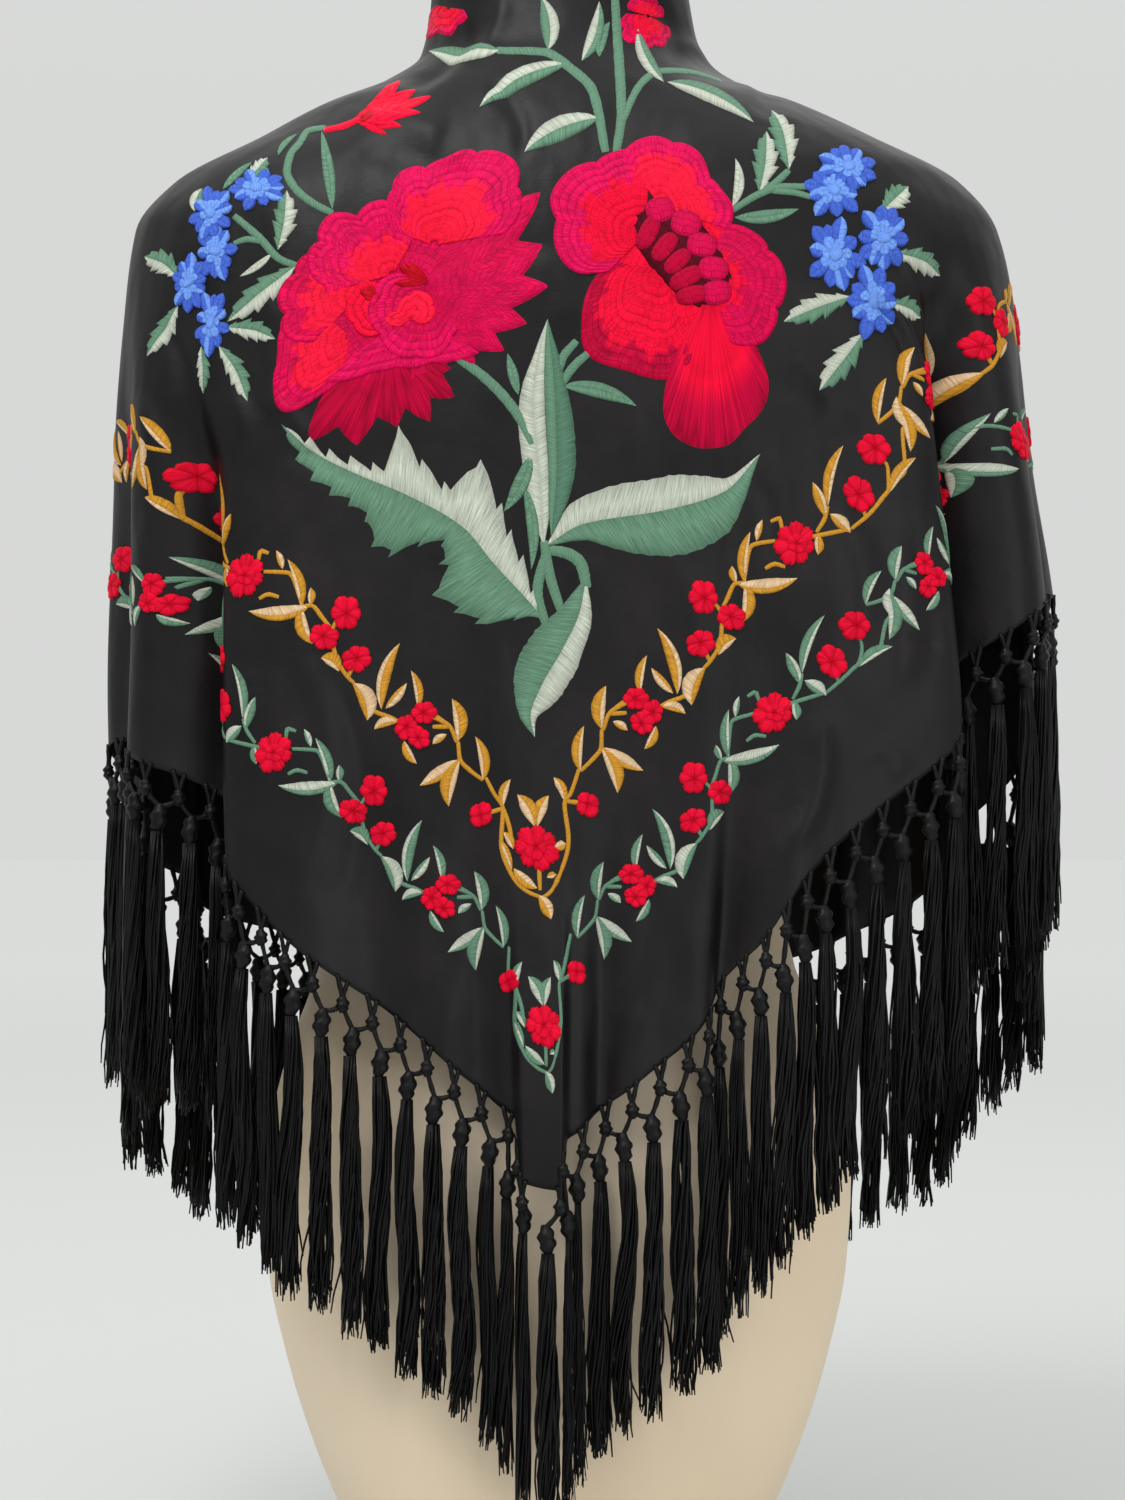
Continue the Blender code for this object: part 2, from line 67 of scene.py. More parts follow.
# --- Tables of the drape: the same sizes as the cloth's solid ------------------
@dataclass(frozen=True)
class Section:
    """One level section: half-sizes to each side and how square it is."""

    height: float
    left: float
    right: float
    back: float
    front: float
    square: float


@dataclass(frozen=True)
class Station:
    """The height of an edge or a guide at one across value."""

    across: float
    height: float


@dataclass(frozen=True)
class Fold:
    """An upright fold: height > 0 stands out of the cloth, < 0 is a trough."""

    across: float
    height: float
    half: float
    flat: float
    top: float
    fade: float
    lean: float
    slant: float


@dataclass(frozen=True)
class Crease:
    """A soft ridge or trough between two places as seen from behind."""

    x_start: float
    z_start: float
    x_end: float
    z_end: float
    depth: float
    half: float


SHAWL_SECTIONS = tuple(Section(*row) for row in (
    (0.975, 0.072, 0.072, 0.064, 0.058, 2.0), (0.93, 0.074, 0.078, 0.068, 0.06, 2.0),
    (0.9, 0.08, 0.085, 0.076, 0.068, 2.0), (0.882, 0.104, 0.106, 0.088, 0.08, 2.1),
    (0.868, 0.14, 0.146, 0.098, 0.092, 2.2), (0.848, 0.176, 0.188, 0.109, 0.104, 2.4),
    (0.822, 0.224, 0.236, 0.119, 0.118, 2.6), (0.795, 0.245, 0.256, 0.125, 0.13, 2.8),
    (0.74, 0.252, 0.268, 0.13, 0.144, 2.9), (0.67, 0.258, 0.278, 0.132, 0.153, 3.0),
    (0.59, 0.261, 0.29, 0.132, 0.154, 3.0), (0.5, 0.262, 0.298, 0.132, 0.15, 3.0),
    (0.4, 0.26, 0.298, 0.133, 0.146, 2.9), (0.33, 0.256, 0.292, 0.135, 0.144, 2.8),
    (0.25, 0.25, 0.285, 0.136, 0.142, 2.7),
))

TOP_EDGE = tuple(Station(*row) for row in (
    (-0.67, 0.8), (-0.61, 0.812), (-0.52, 0.856), (-0.4, 0.912), (-0.3, 0.94), (-0.18, 0.954),
    (0.0, 0.962), (0.18, 0.954), (0.32, 0.94), (0.44, 0.912), (0.57, 0.856), (0.66, 0.812), (0.73, 0.8),
))

HEM = tuple(Station(*row) for row in (
    (-0.67, 0.345), (-0.62, 0.352), (-0.52, 0.376), (-0.43, 0.412), (-0.36, 0.462), (-0.3, 0.5),
    (-0.235, 0.484), (-0.19, 0.428), (-0.15, 0.388), (-0.09, 0.342), (-0.042, 0.3), (-0.0292, 0.2925),
    (-0.0264, 0.262), (-0.0235, 0.258), (0.001, 0.2545), (0.0036, 0.2575), (0.0058, 0.279), (0.018, 0.286),
    (0.06, 0.318), (0.086, 0.34), (0.114, 0.384), (0.14, 0.425), (0.175, 0.458), (0.224, 0.496),
    (0.29, 0.572), (0.325, 0.582), (0.36, 0.584), (0.43, 0.51), (0.5, 0.425), (0.57, 0.376), (0.66, 0.352),
    (0.73, 0.345),
))

TIP_STRIP = Fold(-0.010, 0.0100, 0.0038, 0.0138, 0.44, 0.13, 0.0, 0.0)
FOLDS = (TIP_STRIP, *(Fold(*row) for row in (
    (0.029, -0.011, 0.011, 0.0, 0.5, 0.16, -0.003, 0.02),
    (0.1, -0.015, 0.01, 0.0, 0.54, 0.18, -0.006, 0.03), (0.142, 0.008, 0.018, 0.0, 0.6, 0.2, 0.0, -0.15),
    (0.256, -0.04, 0.017, 0.0, 0.79, 0.11, -0.012, 0.0), (0.335, -0.012, 0.02, 0.0, 0.78, 0.16, 0.0, 0.02),
    (0.405, -0.016, 0.019, 0.0, 0.78, 0.16, 0.004, 0.05),
    (0.48, -0.022, 0.019, 0.0, 0.78, 0.16, 0.005, 0.03),
    (0.56, -0.018, 0.017, 0.0, 0.74, 0.18, 0.004, 0.01), (0.64, -0.015, 0.016, 0.0, 0.72, 0.2, 0.0, 0.0),
    (-0.046, -0.008, 0.014, 0.0, 0.52, 0.18, 0.002, -0.02),
    (-0.1, -0.007, 0.016, 0.0, 0.6, 0.22, 0.0, -0.03), (-0.15, 0.007, 0.02, 0.0, 0.62, 0.2, 0.0, 0.05),
    (-0.213, -0.036, 0.016, 0.0, 0.72, 0.13, 0.011, 0.0),
    (-0.285, -0.015, 0.019, 0.0, 0.78, 0.2, 0.0, -0.02),
    (-0.35, -0.022, 0.019, 0.0, 0.78, 0.2, -0.004, -0.03),
    (-0.425, -0.026, 0.019, 0.0, 0.78, 0.2, -0.004, -0.03),
    (-0.505, -0.024, 0.018, 0.0, 0.74, 0.2, -0.004, 0.0),
    (-0.582, -0.018, 0.016, 0.0, 0.72, 0.2, 0.0, 0.0),
)))

FORM_SECTIONS = tuple(Section(*row) for row in (
    (0.0, 0.078, 0.078, 0.06, 0.06, 2.2), (0.006, 0.093, 0.093, 0.07, 0.068, 2.2),
    (0.025, 0.111, 0.111, 0.082, 0.078, 2.2), (0.059, 0.129, 0.129, 0.093, 0.088, 2.2),
    (0.102, 0.146, 0.146, 0.102, 0.096, 2.2), (0.142, 0.158, 0.158, 0.108, 0.101, 2.2),
    (0.195, 0.169, 0.169, 0.112, 0.103, 2.2), (0.247, 0.172, 0.172, 0.111, 0.101, 2.2),
    (0.31, 0.16, 0.16, 0.102, 0.096, 2.2), (0.38, 0.136, 0.136, 0.088, 0.09, 2.2),
    (0.44, 0.126, 0.126, 0.083, 0.088, 2.2), (0.52, 0.136, 0.136, 0.089, 0.101, 2.2),
    (0.6, 0.154, 0.154, 0.1, 0.123, 2.2), (0.66, 0.169, 0.169, 0.108, 0.13, 2.2),
    (0.72, 0.19, 0.19, 0.112, 0.122, 2.3), (0.765, 0.214, 0.216, 0.112, 0.112, 2.4),
    (0.795, 0.228, 0.234, 0.108, 0.104, 2.4),
))


# --- Small curves and steps ---------------------------------------------------
def smooth_between(places: Sequence[float], values: Sequence[float], wanted: np.ndarray) -> np.ndarray:
    """Reads a table along a cubic that never overshoots a row.

    Each row's slope is the harmonic mean of the rises beside it, or zero
    where they differ in sign.

    Args:
        places: The rows' places, rising.
        values: The rows' values.
        wanted: Where to read the table.

    Returns:
        The value at each wanted place.
    """
    at, value = np.asarray(places, float), np.asarray(values, float)
    steps = np.diff(at)
    rises = np.diff(value) / steps
    same_way = rises[:-1] * rises[1:] > 0
    inner = np.zeros(len(rises) - 1)
    both = rises[:-1][same_way] + rises[1:][same_way]
    inner[same_way] = 2 * rises[:-1][same_way] * rises[1:][same_way] / both
    slopes = np.concatenate([rises[:1], inner, rises[-1:]])
    wanted = np.clip(wanted, at[0], at[-1])
    row = np.clip(np.searchsorted(at, wanted, side="right") - 1, 0, len(steps) - 1)
    step = steps[row]
    part = (wanted - at[row]) / step
    return (
        (1 + 2 * part) * (1 - part) ** 2 * value[row]
        + part * (1 - part) ** 2 * step * slopes[row]
        + part**2 * (3 - 2 * part) * value[row + 1]
        + part**2 * (part - 1) * step * slopes[row + 1]
    )


def smooth_step(value: np.ndarray) -> np.ndarray:
    """Zero below 0, one above 1 and 3v^2 - 2v^3 between."""
    value = np.clip(value, 0.0, 1.0)
    return value**2 * (3 - 2 * value)


def section_at(sections: Sequence[Section], heights: np.ndarray) -> list[np.ndarray]:
    """Reads each column of a section table at the given heights."""
    rows = sorted(sections, key=lambda row: row.height)
    places = [row.height for row in rows]
    columns = ("left", "right", "back", "front", "square")
    return [smooth_between(places, [getattr(row, name) for row in rows], heights) for name in columns]


def station_height(stations: Sequence[Station], across: np.ndarray) -> np.ndarray:
    """Reads the height of an edge or a guide at the given across values."""
    return smooth_between([s.across for s in stations], [s.height for s in stations], across)


def ring_point(sections: Sequence[Section], angle: np.ndarray, height: np.ndarray) -> np.ndarray:
    """A point of a rounded-square section.

    x = width * sign(sin) * |sin|^(2/square) and y = -depth * sign(cos) *
    |cos|^(2/square), so angle 0 is the centre back and +90 degrees is at +X.

    Args:
        sections: The table of sections.
        angle: Angle round the section, in radians.
        height: Height of the section, of the same shape as angle.

    Returns:
        Points with the angle's shape and a last axis of three.
    """
    left, right, back, front, square = section_at(sections, height)
    sine, cosine = np.sin(angle), np.cos(angle)
    width = np.where(sine < 0, left, right)
    depth = np.where(cosine > 0, back, front)
    power = 2 / square
    x = width * np.sign(sine) * np.abs(sine) ** power
    y = -depth * np.sign(cosine) * np.abs(cosine) ** power
    return np.stack([x, y, height + 0 * x], axis=-1)


def unit(vectors: np.ndarray) -> np.ndarray:
    """Scales vectors along the last axis to a length of one."""
    return vectors / np.maximum(np.linalg.norm(vectors, axis=-1, keepdims=True), 1e-12)


# --- Meshes from whole arrays ---------------------------------------------------
class SurfaceBuilder:
    """Gathers grids and tubes and makes one mesh of them."""

    def __init__(self) -> None:
        """Starts with no points and no faces."""
        self.points: list[np.ndarray] = []
        self.uvs: list[np.ndarray] = []
        self.colours: list[np.ndarray] = []
        self.quads: list[np.ndarray] = []
        self.triangles: list[np.ndarray] = []
        self.count = 0

    def add_points(self, points: np.ndarray, uv: np.ndarray | None, colour: np.ndarray | None) -> int:
        """Adds points with their UV and colour.

        Args:
            points: Array that reshapes to rows of xyz.
            uv: The same points' UV, in metres, or None for zeros.
            colour: The same points' linear RGB, or None for white.

        Returns:
            The index of the first new point.
        """
        rows = points.reshape(-1, 3)
        self.points.append(rows)
        self.uvs.append(np.zeros((len(rows), 2)) if uv is None else uv.reshape(-1, 2))
        self.colours.append(np.ones((len(rows), 3)) if colour is None else colour.reshape(-1, 3))
        first = self.count
        self.count += len(rows)
        return first

    def add_grid(
        self,
        points: np.ndarray,
        uv: np.ndarray | None = None,
        colour: np.ndarray | None = None,
        wrap: bool = False,
    ) -> None:
        """Adds a grid of points [row, column] as quads.

        Args:
            points: The grid's points.
            uv: The grid's UV.
            colour: The grid's colour.
            wrap: True where the last column joins the first.
        """
        rows, columns = points.shape[:2]
        first = self.add_points(points, uv, colour)
        index = first + np.arange(rows * columns).reshape(rows, columns)
        if wrap:
            index = np.concatenate([index, index[:, :1]], axis=1)
        corners = [index[:-1, :-1], index[1:, :-1], index[1:, 1:], index[:-1, 1:]]
        self.quads.append(np.stack(corners, axis=-1).reshape(-1, 4))

    def add_tubes(self, paths: np.ndarray, radii: np.ndarray, outward: np.ndarray, sides: int) -> None:
        """Carries a round profile along many paths at once, with closed ends.

        Each ring is path + radius * (cos a * side + sin a * second), where
        side is tangent x outward and second is side x tangent.

        Args:
            paths: Points [tube, ring, xyz].
            radii: Radius [tube, ring].
            outward: A vector for each tube that its tangents never meet.
            sides: Number of sides of a tube.
        """
        tubes, rings = paths.shape[:2]
        tangent = unit(np.gradient(paths, axis=1))
        side = unit(np.cross(tangent, outward[:, None, :]))
        second = np.cross(side, tangent)
        angle = 2 * math.pi * np.arange(sides) / sides
        around = np.cos(angle)[:, None] * side[:, :, None] + np.sin(angle)[:, None] * second[:, :, None]
        points = paths[:, :, None] + radii[..., None, None] * around
        run = np.linalg.norm(np.diff(paths, axis=1), axis=2)
        along = np.concatenate([np.zeros((tubes, 1)), np.cumsum(run, axis=1)], axis=1)
        uv = np.stack(
            np.broadcast_arrays(along[:, :, None], (angle / (2 * math.pi))[None, None] * 0.004), axis=-1
        )
        first = self.add_points(points, uv, None)
        index = first + np.arange(tubes * rings * sides).reshape(tubes, rings, sides)
        beside = np.roll(index, -1, axis=2)
        corners = [index[:, :-1], beside[:, :-1], beside[:, 1:], index[:, 1:]]
        self.quads.append(np.stack(corners, axis=-1).reshape(-1, 4))
        for ring, order in ((0, (0, 2, 1)), (-1, (0, 1, 2))):
            cap = index[:, ring]
            fans = [
                np.stack([cap[:, 0], cap[:, step], cap[:, step + 1]], axis=1)[:, list(order)]
                for step in range(1, sides - 1)
            ]
            self.triangles.append(np.concatenate(fans))

    def mesh(self, name: str, lay: Callable[[np.ndarray], np.ndarray] | None = None) -> bpy.types.Mesh:
        """Makes the mesh, with a UV map "thread" and a colour attribute "silk".

        Args:
            name: The mesh's name.
            lay: Carries the gathered points to their places, where they were drawn flat.

        Returns:
            The mesh.
        """
        points = np.concatenate(self.points)
        points = points if lay is None else lay(points)
        quads = np.concatenate(self.quads) if self.quads else np.zeros((0, 4), int)
        triangles = np.concatenate(self.triangles) if self.triangles else np.zeros((0, 3), int)
        corners = np.concatenate([quads.ravel(), triangles.ravel()]).astype(np.int32)
        starts = np.concatenate([4 * np.arange(len(quads)), quads.size + 3 * np.arange(len(triangles))])
        mesh = bpy.data.meshes.new(name)
        mesh.vertices.add(len(points))
        mesh.vertices.foreach_set("co", points.astype(np.float32).ravel())
        mesh.loops.add(len(corners))
        mesh.loops.foreach_set("vertex_index", corners)
        mesh.polygons.add(len(starts))
        mesh.polygons.foreach_set("loop_start", starts.astype(np.int32))
        mesh.update(calc_edges=True)
        layer = mesh.uv_layers.new(name="thread")
        uv = np.concatenate(self.uvs)[corners]
        layer.data.foreach_set("uv", uv.astype(np.float32).ravel())
        colour = np.concatenate(self.colours)
        attribute = mesh.color_attributes.new(name="silk", type="FLOAT_COLOR", domain="POINT")
        rgba = np.concatenate([colour, np.ones((len(colour), 1))], axis=1)
        attribute.data.foreach_set("color", rgba.astype(np.float32).ravel())
        mesh.validate()
        mesh.shade_smooth()
        return mesh


def add_piece(name: str, mesh: bpy.types.Mesh, material: bpy.types.Material) -> bpy.types.Object:
    """Links a finished mesh as a piece that rides on the part's one body."""
    piece = bpy.data.objects.new(name, mesh)
    bpy.context.scene.collection.objects.link(piece)
    mesh.materials.clear()
    mesh.materials.append(material)
    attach(piece, "root")
    return piece


# --- The drape --------------------------------------------------------------------
SOFT_CREASES = tuple(Crease(*row) for row in (
    (-0.041, 0.875, -0.017, 0.822, -0.0022, 0.005), (-0.012, 0.772, 0.006, 0.722, 0.0016, 0.012),
    (0.092, 0.705, 0.118, 0.688, 0.0016, 0.006), (0.182, 0.772, 0.206, 0.72, -0.0026, 0.0042),
    (0.196, 0.768, 0.215, 0.728, -0.0024, 0.0036), (0.17, 0.748, 0.196, 0.706, -0.0018, 0.004),
    (0.19, 0.555, 0.214, 0.551, -0.0018, 0.0028), (0.142, 0.52, 0.126, 0.436, 0.003, 0.006),
    (-0.14, 0.56, -0.15, 0.4, 0.0026, 0.0075), (-0.122, 0.54, -0.128, 0.39, -0.0022, 0.005),
    (0.102, 0.65, 0.12, 0.6, -0.0014, 0.003), (-0.165, 0.76, -0.172, 0.64, 0.0018, 0.009),
    (0.036, 0.48, 0.03, 0.33, -0.0026, 0.0065), (0.06, 0.43, 0.064, 0.33, 0.0022, 0.008),
    (-0.07, 0.44, -0.062, 0.33, 0.002, 0.009), (-0.06, 0.9, -0.11, 0.85, -0.0018, 0.008),
    (0.07, 0.895, 0.13, 0.846, -0.0018, 0.008), (0.176, 0.5, 0.19, 0.478, 0.0018, 0.006),
    (0.174, 0.744, 0.196, 0.704, -0.003, 0.0046), (0.187, 0.75, 0.209, 0.71, -0.0034, 0.0046),
    (0.2, 0.756, 0.222, 0.714, -0.0034, 0.0046), (0.214, 0.756, 0.234, 0.718, -0.0028, 0.0046),
    (0.118, 0.69, 0.17, 0.66, -0.002, 0.007), (0.13, 0.716, 0.15, 0.672, 0.002, 0.006),
    (-0.03, 0.93, -0.052, 0.88, 0.0026, 0.006), (-0.045, 0.915, -0.09, 0.868, -0.0026, 0.0055),
    (0.048, 0.93, 0.072, 0.882, -0.0026, 0.006), (0.06, 0.905, 0.118, 0.862, 0.0024, 0.0065),
    (-0.11, 0.85, -0.06, 0.832, 0.0024, 0.008), (-0.12, 0.826, -0.04, 0.8, -0.0024, 0.009),
    (-0.222, 0.742, -0.214, 0.64, -0.0032, 0.0065), (-0.238, 0.7, -0.232, 0.6, 0.0028, 0.007),
    (-0.18, 0.7, -0.188, 0.6, 0.0026, 0.008), (0.15, 0.64, 0.168, 0.54, -0.0026, 0.0075),
    (0.18, 0.62, 0.186, 0.52, 0.0024, 0.008), (-0.02, 0.56, -0.03, 0.45, -0.0018, 0.011),
    (0.05, 0.62, 0.078, 0.52, 0.0018, 0.01), (-0.154, 0.66, -0.11, 0.64, -0.0016, 0.006),
    (-0.16, 0.69, -0.135, 0.655, 0.0018, 0.005),
))


class Drape:
    """The cloth's form: carrier sections, upright folds and soft creases."""

    REFERENCE_HEIGHT = 0.50
    FRONT_EDGE_X = 0.016
    STEP = 2e-4
    RULER_MARKS = 4001
    CREASE_BOW = 0.12
    CREASE_ENDS = 0.22

    def __init__(self, creases: Sequence[Crease] = SOFT_CREASES) -> None:
        """Measures the reference section on both sides.

        Args:
            creases: The finer creases laid over the folds.
        """
        self.creases = creases
        self.rulers = {side: self._ruler(side) for side in (-1, 1)}

    def _ruler(self, side: int) -> tuple[np.ndarray, np.ndarray]:
        """Distance and angle along the reference section from the centre back."""
        angle = side * np.linspace(0, math.pi, self.RULER_MARKS)
        ring = ring_point(SHAWL_SECTIONS, angle, np.full_like(angle, self.REFERENCE_HEIGHT))
        runs = np.linalg.norm(np.diff(ring, axis=0), axis=1)
        return np.concatenate([[0.0], np.cumsum(runs)]), angle

    def angle_of(self, across: np.ndarray) -> np.ndarray:
        """The section angle of an across value."""
        left = np.interp(-across, *self.rulers[-1])
        right = np.interp(across, *self.rulers[1])
        return np.where(across < 0, left, right)

    def front_edge(self, side: int) -> float:
        """The across value of one front edge, just short of the centre front."""
        distance, angle = self.rulers[side]
        left, right, _, _, square = section_at(SHAWL_SECTIONS, np.array([self.REFERENCE_HEIGHT]))
        width = float((left if side < 0 else right)[0])
        from_front = math.asin((self.FRONT_EDGE_X / width) ** (float(square[0]) / 2))
        return side * float(np.interp(math.pi - from_front, np.abs(angle), distance))

    def across_seen(self, x: np.ndarray, height: np.ndarray) -> np.ndarray:
        """The across value of a place on the back that is seen at x from straight behind."""
        left, right, _, _, square = section_at(SHAWL_SECTIONS, height)
        width = np.where(x < 0, left, right)
        angle = np.arcsin(np.clip(np.abs(x) / width, 0, 0.9999) ** (square / 2))
        left_run = np.interp(angle, np.abs(self.rulers[-1][1]), self.rulers[-1][0])
        right_run = np.interp(angle, self.rulers[1][1], self.rulers[1][0])
        return np.where(x < 0, -left_run, right_run)

    def carrier(self, across: np.ndarray, height: np.ndarray) -> np.ndarray:
        """The unfolded surface that the folds stand on."""
        return ring_point(SHAWL_SECTIONS, self.angle_of(across), height)

    def carrier_normal(self, across: np.ndarray, height: np.ndarray) -> np.ndarray:
        """Unit normal of the carrier, away from the form."""
        step = self.STEP
        along = self.carrier(across + step, height) - self.carrier(across - step, height)
        up = self.carrier(across, height + step) - self.carrier(across, height - step)
        return unit(np.cross(along, up))

    def crease_height(self, flat: np.ndarray, height: np.ndarray) -> np.ndarray:
        """Sum of the soft creases.

        Each adds depth * exp(-(distance/half)^2), faded to nothing over the
        last fifth of the way to both ends and past them.

        Args:
            flat: Carrier points.
            height: Their heights.

        Returns:
            How far the cloth stands out, in metres.
        """
        total = np.zeros_like(height)
        behind = flat[..., 1] < 0
        for crease in self.creases:
            start = np.array([crease.x_start, crease.z_start])
            run = np.array([crease.x_end, crease.z_end]) - start
            length = float(np.linalg.norm(run))
            run = run / length
            from_start = np.stack([flat[..., 0], height], axis=-1) - start
            along = (from_start @ run) / length
            bow = self.CREASE_BOW * length * np.sin(math.pi * np.clip(along, 0, 1))
            beside = from_start[..., 0] * run[1] - from_start[..., 1] * run[0] + bow
            ends = smooth_step(along / self.CREASE_ENDS) * smooth_step((1 - along) / self.CREASE_ENDS)
            total = total + behind * crease.depth * ends * np.exp(-((beside / crease.half) ** 2))
        return total

    def wander(self, across: np.ndarray, height: np.ndarray) -> np.ndarray:
        """Slow unevenness of hanging crepe: a few crossed sine waves, within a millimetre or two."""
        low = smooth_step((0.80 - height) / 0.25)
        long_wave = np.sin(31 * across + 9 * height + 0.7) * np.sin(17 * height + 5 * across)
        short_wave = np.sin(67 * across - 14 * height + 2.1) * np.sin(29 * height + 1.3)
        return low * (0.0011 * long_wave + 0.0006 * short_wave)

    def place(self, across: np.ndarray, height: np.ndarray) -> np.ndarray:
        """The cloth's outside: the carrier moved sideways and out by folds and creases."""
        sideways = np.zeros_like(across)
        outward = np.zeros_like(across)
        for fold in FOLDS:
            middle = fold.across + fold.slant * (self.REFERENCE_HEIGHT - height)
            beyond = np.maximum(np.abs(across - middle) - fold.flat, 0.0)
            shape = np.exp(-((beyond / fold.half) ** 2)) * smooth_step((fold.top - height) / fold.fade)
            sideways = sideways + fold.lean * shape
            outward = outward + fold.height * shape
        flat = self.carrier(across + sideways, height)
        outward = outward + self.crease_height(flat, height) + self.wander(across, height)
        return flat + outward[..., None] * self.carrier_normal(across, height)

    def lifted(self, across: np.ndarray, height: np.ndarray, lift: np.ndarray) -> np.ndarray:
        """Places above the cloth, along the folded cloth's own normal.

        Args:
            across: Across values.
            height: Heights.
            lift: Distance from the cloth's outside.

        Returns:
            Points [..., xyz].
        """
        step = 4 * self.STEP
        along = self.place(across + step, height) - self.place(across - step, height)
        up = self.place(across, height + step) - self.place(across, height - step)
        return self.place(across, height) + lift[..., None] * unit(np.cross(along, up))


# --- Finishes -----------------------------------------------------------------------
def linear(red: float, green: float, blue: float) -> tuple[float, float, float]:
    """Turns a colour judged on a 0 to 255 screen scale into linear light."""
    return tuple(
        (value / 12.92 if value <= 0.04045 else ((value + 0.055) / 1.055) ** 2.4)
        for value in (red / 255, green / 255, blue / 255)
    )


Socket = bpy.types.NodeSocket
Triple = tuple[float, float, float]


class NodeBoard:
    """A short way to place and join shader nodes."""

    def __init__(self, name: str) -> None:
        """Makes a material with an empty Principled shader."""
        self.material = bpy.data.materials.new(name)
        self.material.use_nodes = True
        self.tree = self.material.node_tree
        self.shader = self.tree.nodes["Principled BSDF"]

    def node(self, kind: str, **values: object) -> bpy.types.Node:
        """Adds a node and sets its input sockets or properties by name."""
        made = self.tree.nodes.new(kind)
        for key, value in values.items():
            if key in made.inputs:
                made.inputs[key].default_value = value
            else:
                setattr(made, key, value)
        return made

    def join(self, start: Socket, end: Socket) -> None:
        """Joins two sockets."""
        self.tree.links.new(start, end)

    def place(self) -> Socket:
        """The place on the object, in metres."""
        return self.node("ShaderNodeTexCoord").outputs["Object"]

    def stretched(self, source: Socket, scale: Triple) -> Socket:
        """Scales a coordinate, so that a pattern on it is stretched."""
        mapping = self.node("ShaderNodeMapping")
        mapping.inputs["Scale"].default_value = scale
        self.join(source, mapping.inputs["Vector"])
        return mapping.outputs["Vector"]

    def noise(self, where: Socket, scale: float = 1.0, detail: float = 2.0, **values: float) -> Socket:
        """Reads a noise at a coordinate."""
        made = self.node("ShaderNodeTexNoise", Scale=scale, Detail=detail, **values)
        self.join(where, made.inputs["Vector"])
        return made.outputs["Fac"]

    def maths(self, operation: str, *terms: Socket | float) -> Socket:
        """Works out one sum of sockets and numbers."""
        made = self.node("ShaderNodeMath", operation=operation)
        for end, term in zip(made.inputs, terms):
            if isinstance(term, bpy.types.NodeSocket):
                self.join(term, end)
            else:
                end.default_value = term
        return made.outputs[0]

    def mapped(self, value: Socket, *limits: float) -> Socket:
        """Maps a value from the first two limits to the last two, or to 0 and 1."""
        made = self.node("ShaderNodeMapRange")
        for name, limit in zip(("From Min", "From Max", "To Min", "To Max"), limits):
            made.inputs[name].default_value = limit
        self.join(value, made.inputs["Value"])
        return made.outputs["Result"]

    def tone(self, share: Socket, tones: tuple[Triple, Triple], stops: tuple[float, float]) -> None:
        """Colours the shader from the first tone at the first stop to the second at the second."""
        ramp = self.node("ShaderNodeValToRGB")
        for number, (tone, stop) in enumerate(zip(tones, stops)):
            ramp.color_ramp.elements[number].position = stop
            ramp.color_ramp.elements[number].color = (*tone, 1)
        self.join(share, ramp.inputs["Fac"])
        self.join(ramp.outputs["Color"], self.shader.inputs["Base Color"])

    def bump(self, height: Socket, strength: float, distance: float, under: Socket | None = None) -> Socket:
        """Makes a relief, on top of another one where that is given."""
        made = self.node("ShaderNodeBump", Strength=strength, Distance=distance)
        self.join(height, made.inputs["Height"])
        if under is not None:
            self.join(under, made.inputs["Normal"])
        return made.outputs["Normal"]

    def finished(self, roughness: float, specular: float | None, relief: Socket | None) -> bpy.types.Material:
        """Sets the shader's gloss and relief, where given, and returns the material."""
        self.shader.inputs["Roughness"].default_value = roughness
        if specular is not None:
            self.shader.inputs["Specular IOR Level"].default_value = specular
        if relief is not None:
            self.join(relief, self.shader.inputs["Normal"])
        return self.material


@dataclass(frozen=True)
class CrepeFinish:
    """Black crepe with a faint satin sheen."""

    name: str = "black_crepe"
    tones: tuple[Triple, Triple] = ((0.0022, 0.0016, 0.0018), (0.0082, 0.0064, 0.0072))
    stops: tuple[float, float] = (0.35, 0.68)
    roughness: float = 0.48
    specular: float = 0.22
    warp: Triple = (1500.0, 1500.0, 120.0)
    weft: Triple = (120.0, 120.0, 1500.0)
    hang: Triple = (1.0, 1.0, 0.45)

    def build(self) -> bpy.types.Material:
        """Makes the material: a cloudy tone that is partly the crepe's uneven tone and partly painted sheen,
        crosswise yarns, a fine crepe grain and soft ripples.
        """
        board = NodeBoard(self.name)
        where = board.place()
        # The cloudy base tone is partly painted sheen: its lighter clouds stand in for the satin's uneven
        # sheen.
        board.tone(board.noise(where, 14.0, 4.0, Roughness=0.6), self.tones, self.stops)
        yarns = [board.noise(board.stretched(where, way)) for way in (self.warp, self.weft)]
        grain = board.bump(board.maths("ADD", *yarns), 0.22, 0.00025)
        ripple = board.bump(board.noise(where, 30.0, 5.0), 0.55, 0.0022, grain)
        broad = board.noise(board.stretched(where, self.hang), 11.0, 3.0)
        return board.finished(self.roughness, self.specular, board.bump(broad, 0.9, 0.014, ripple))


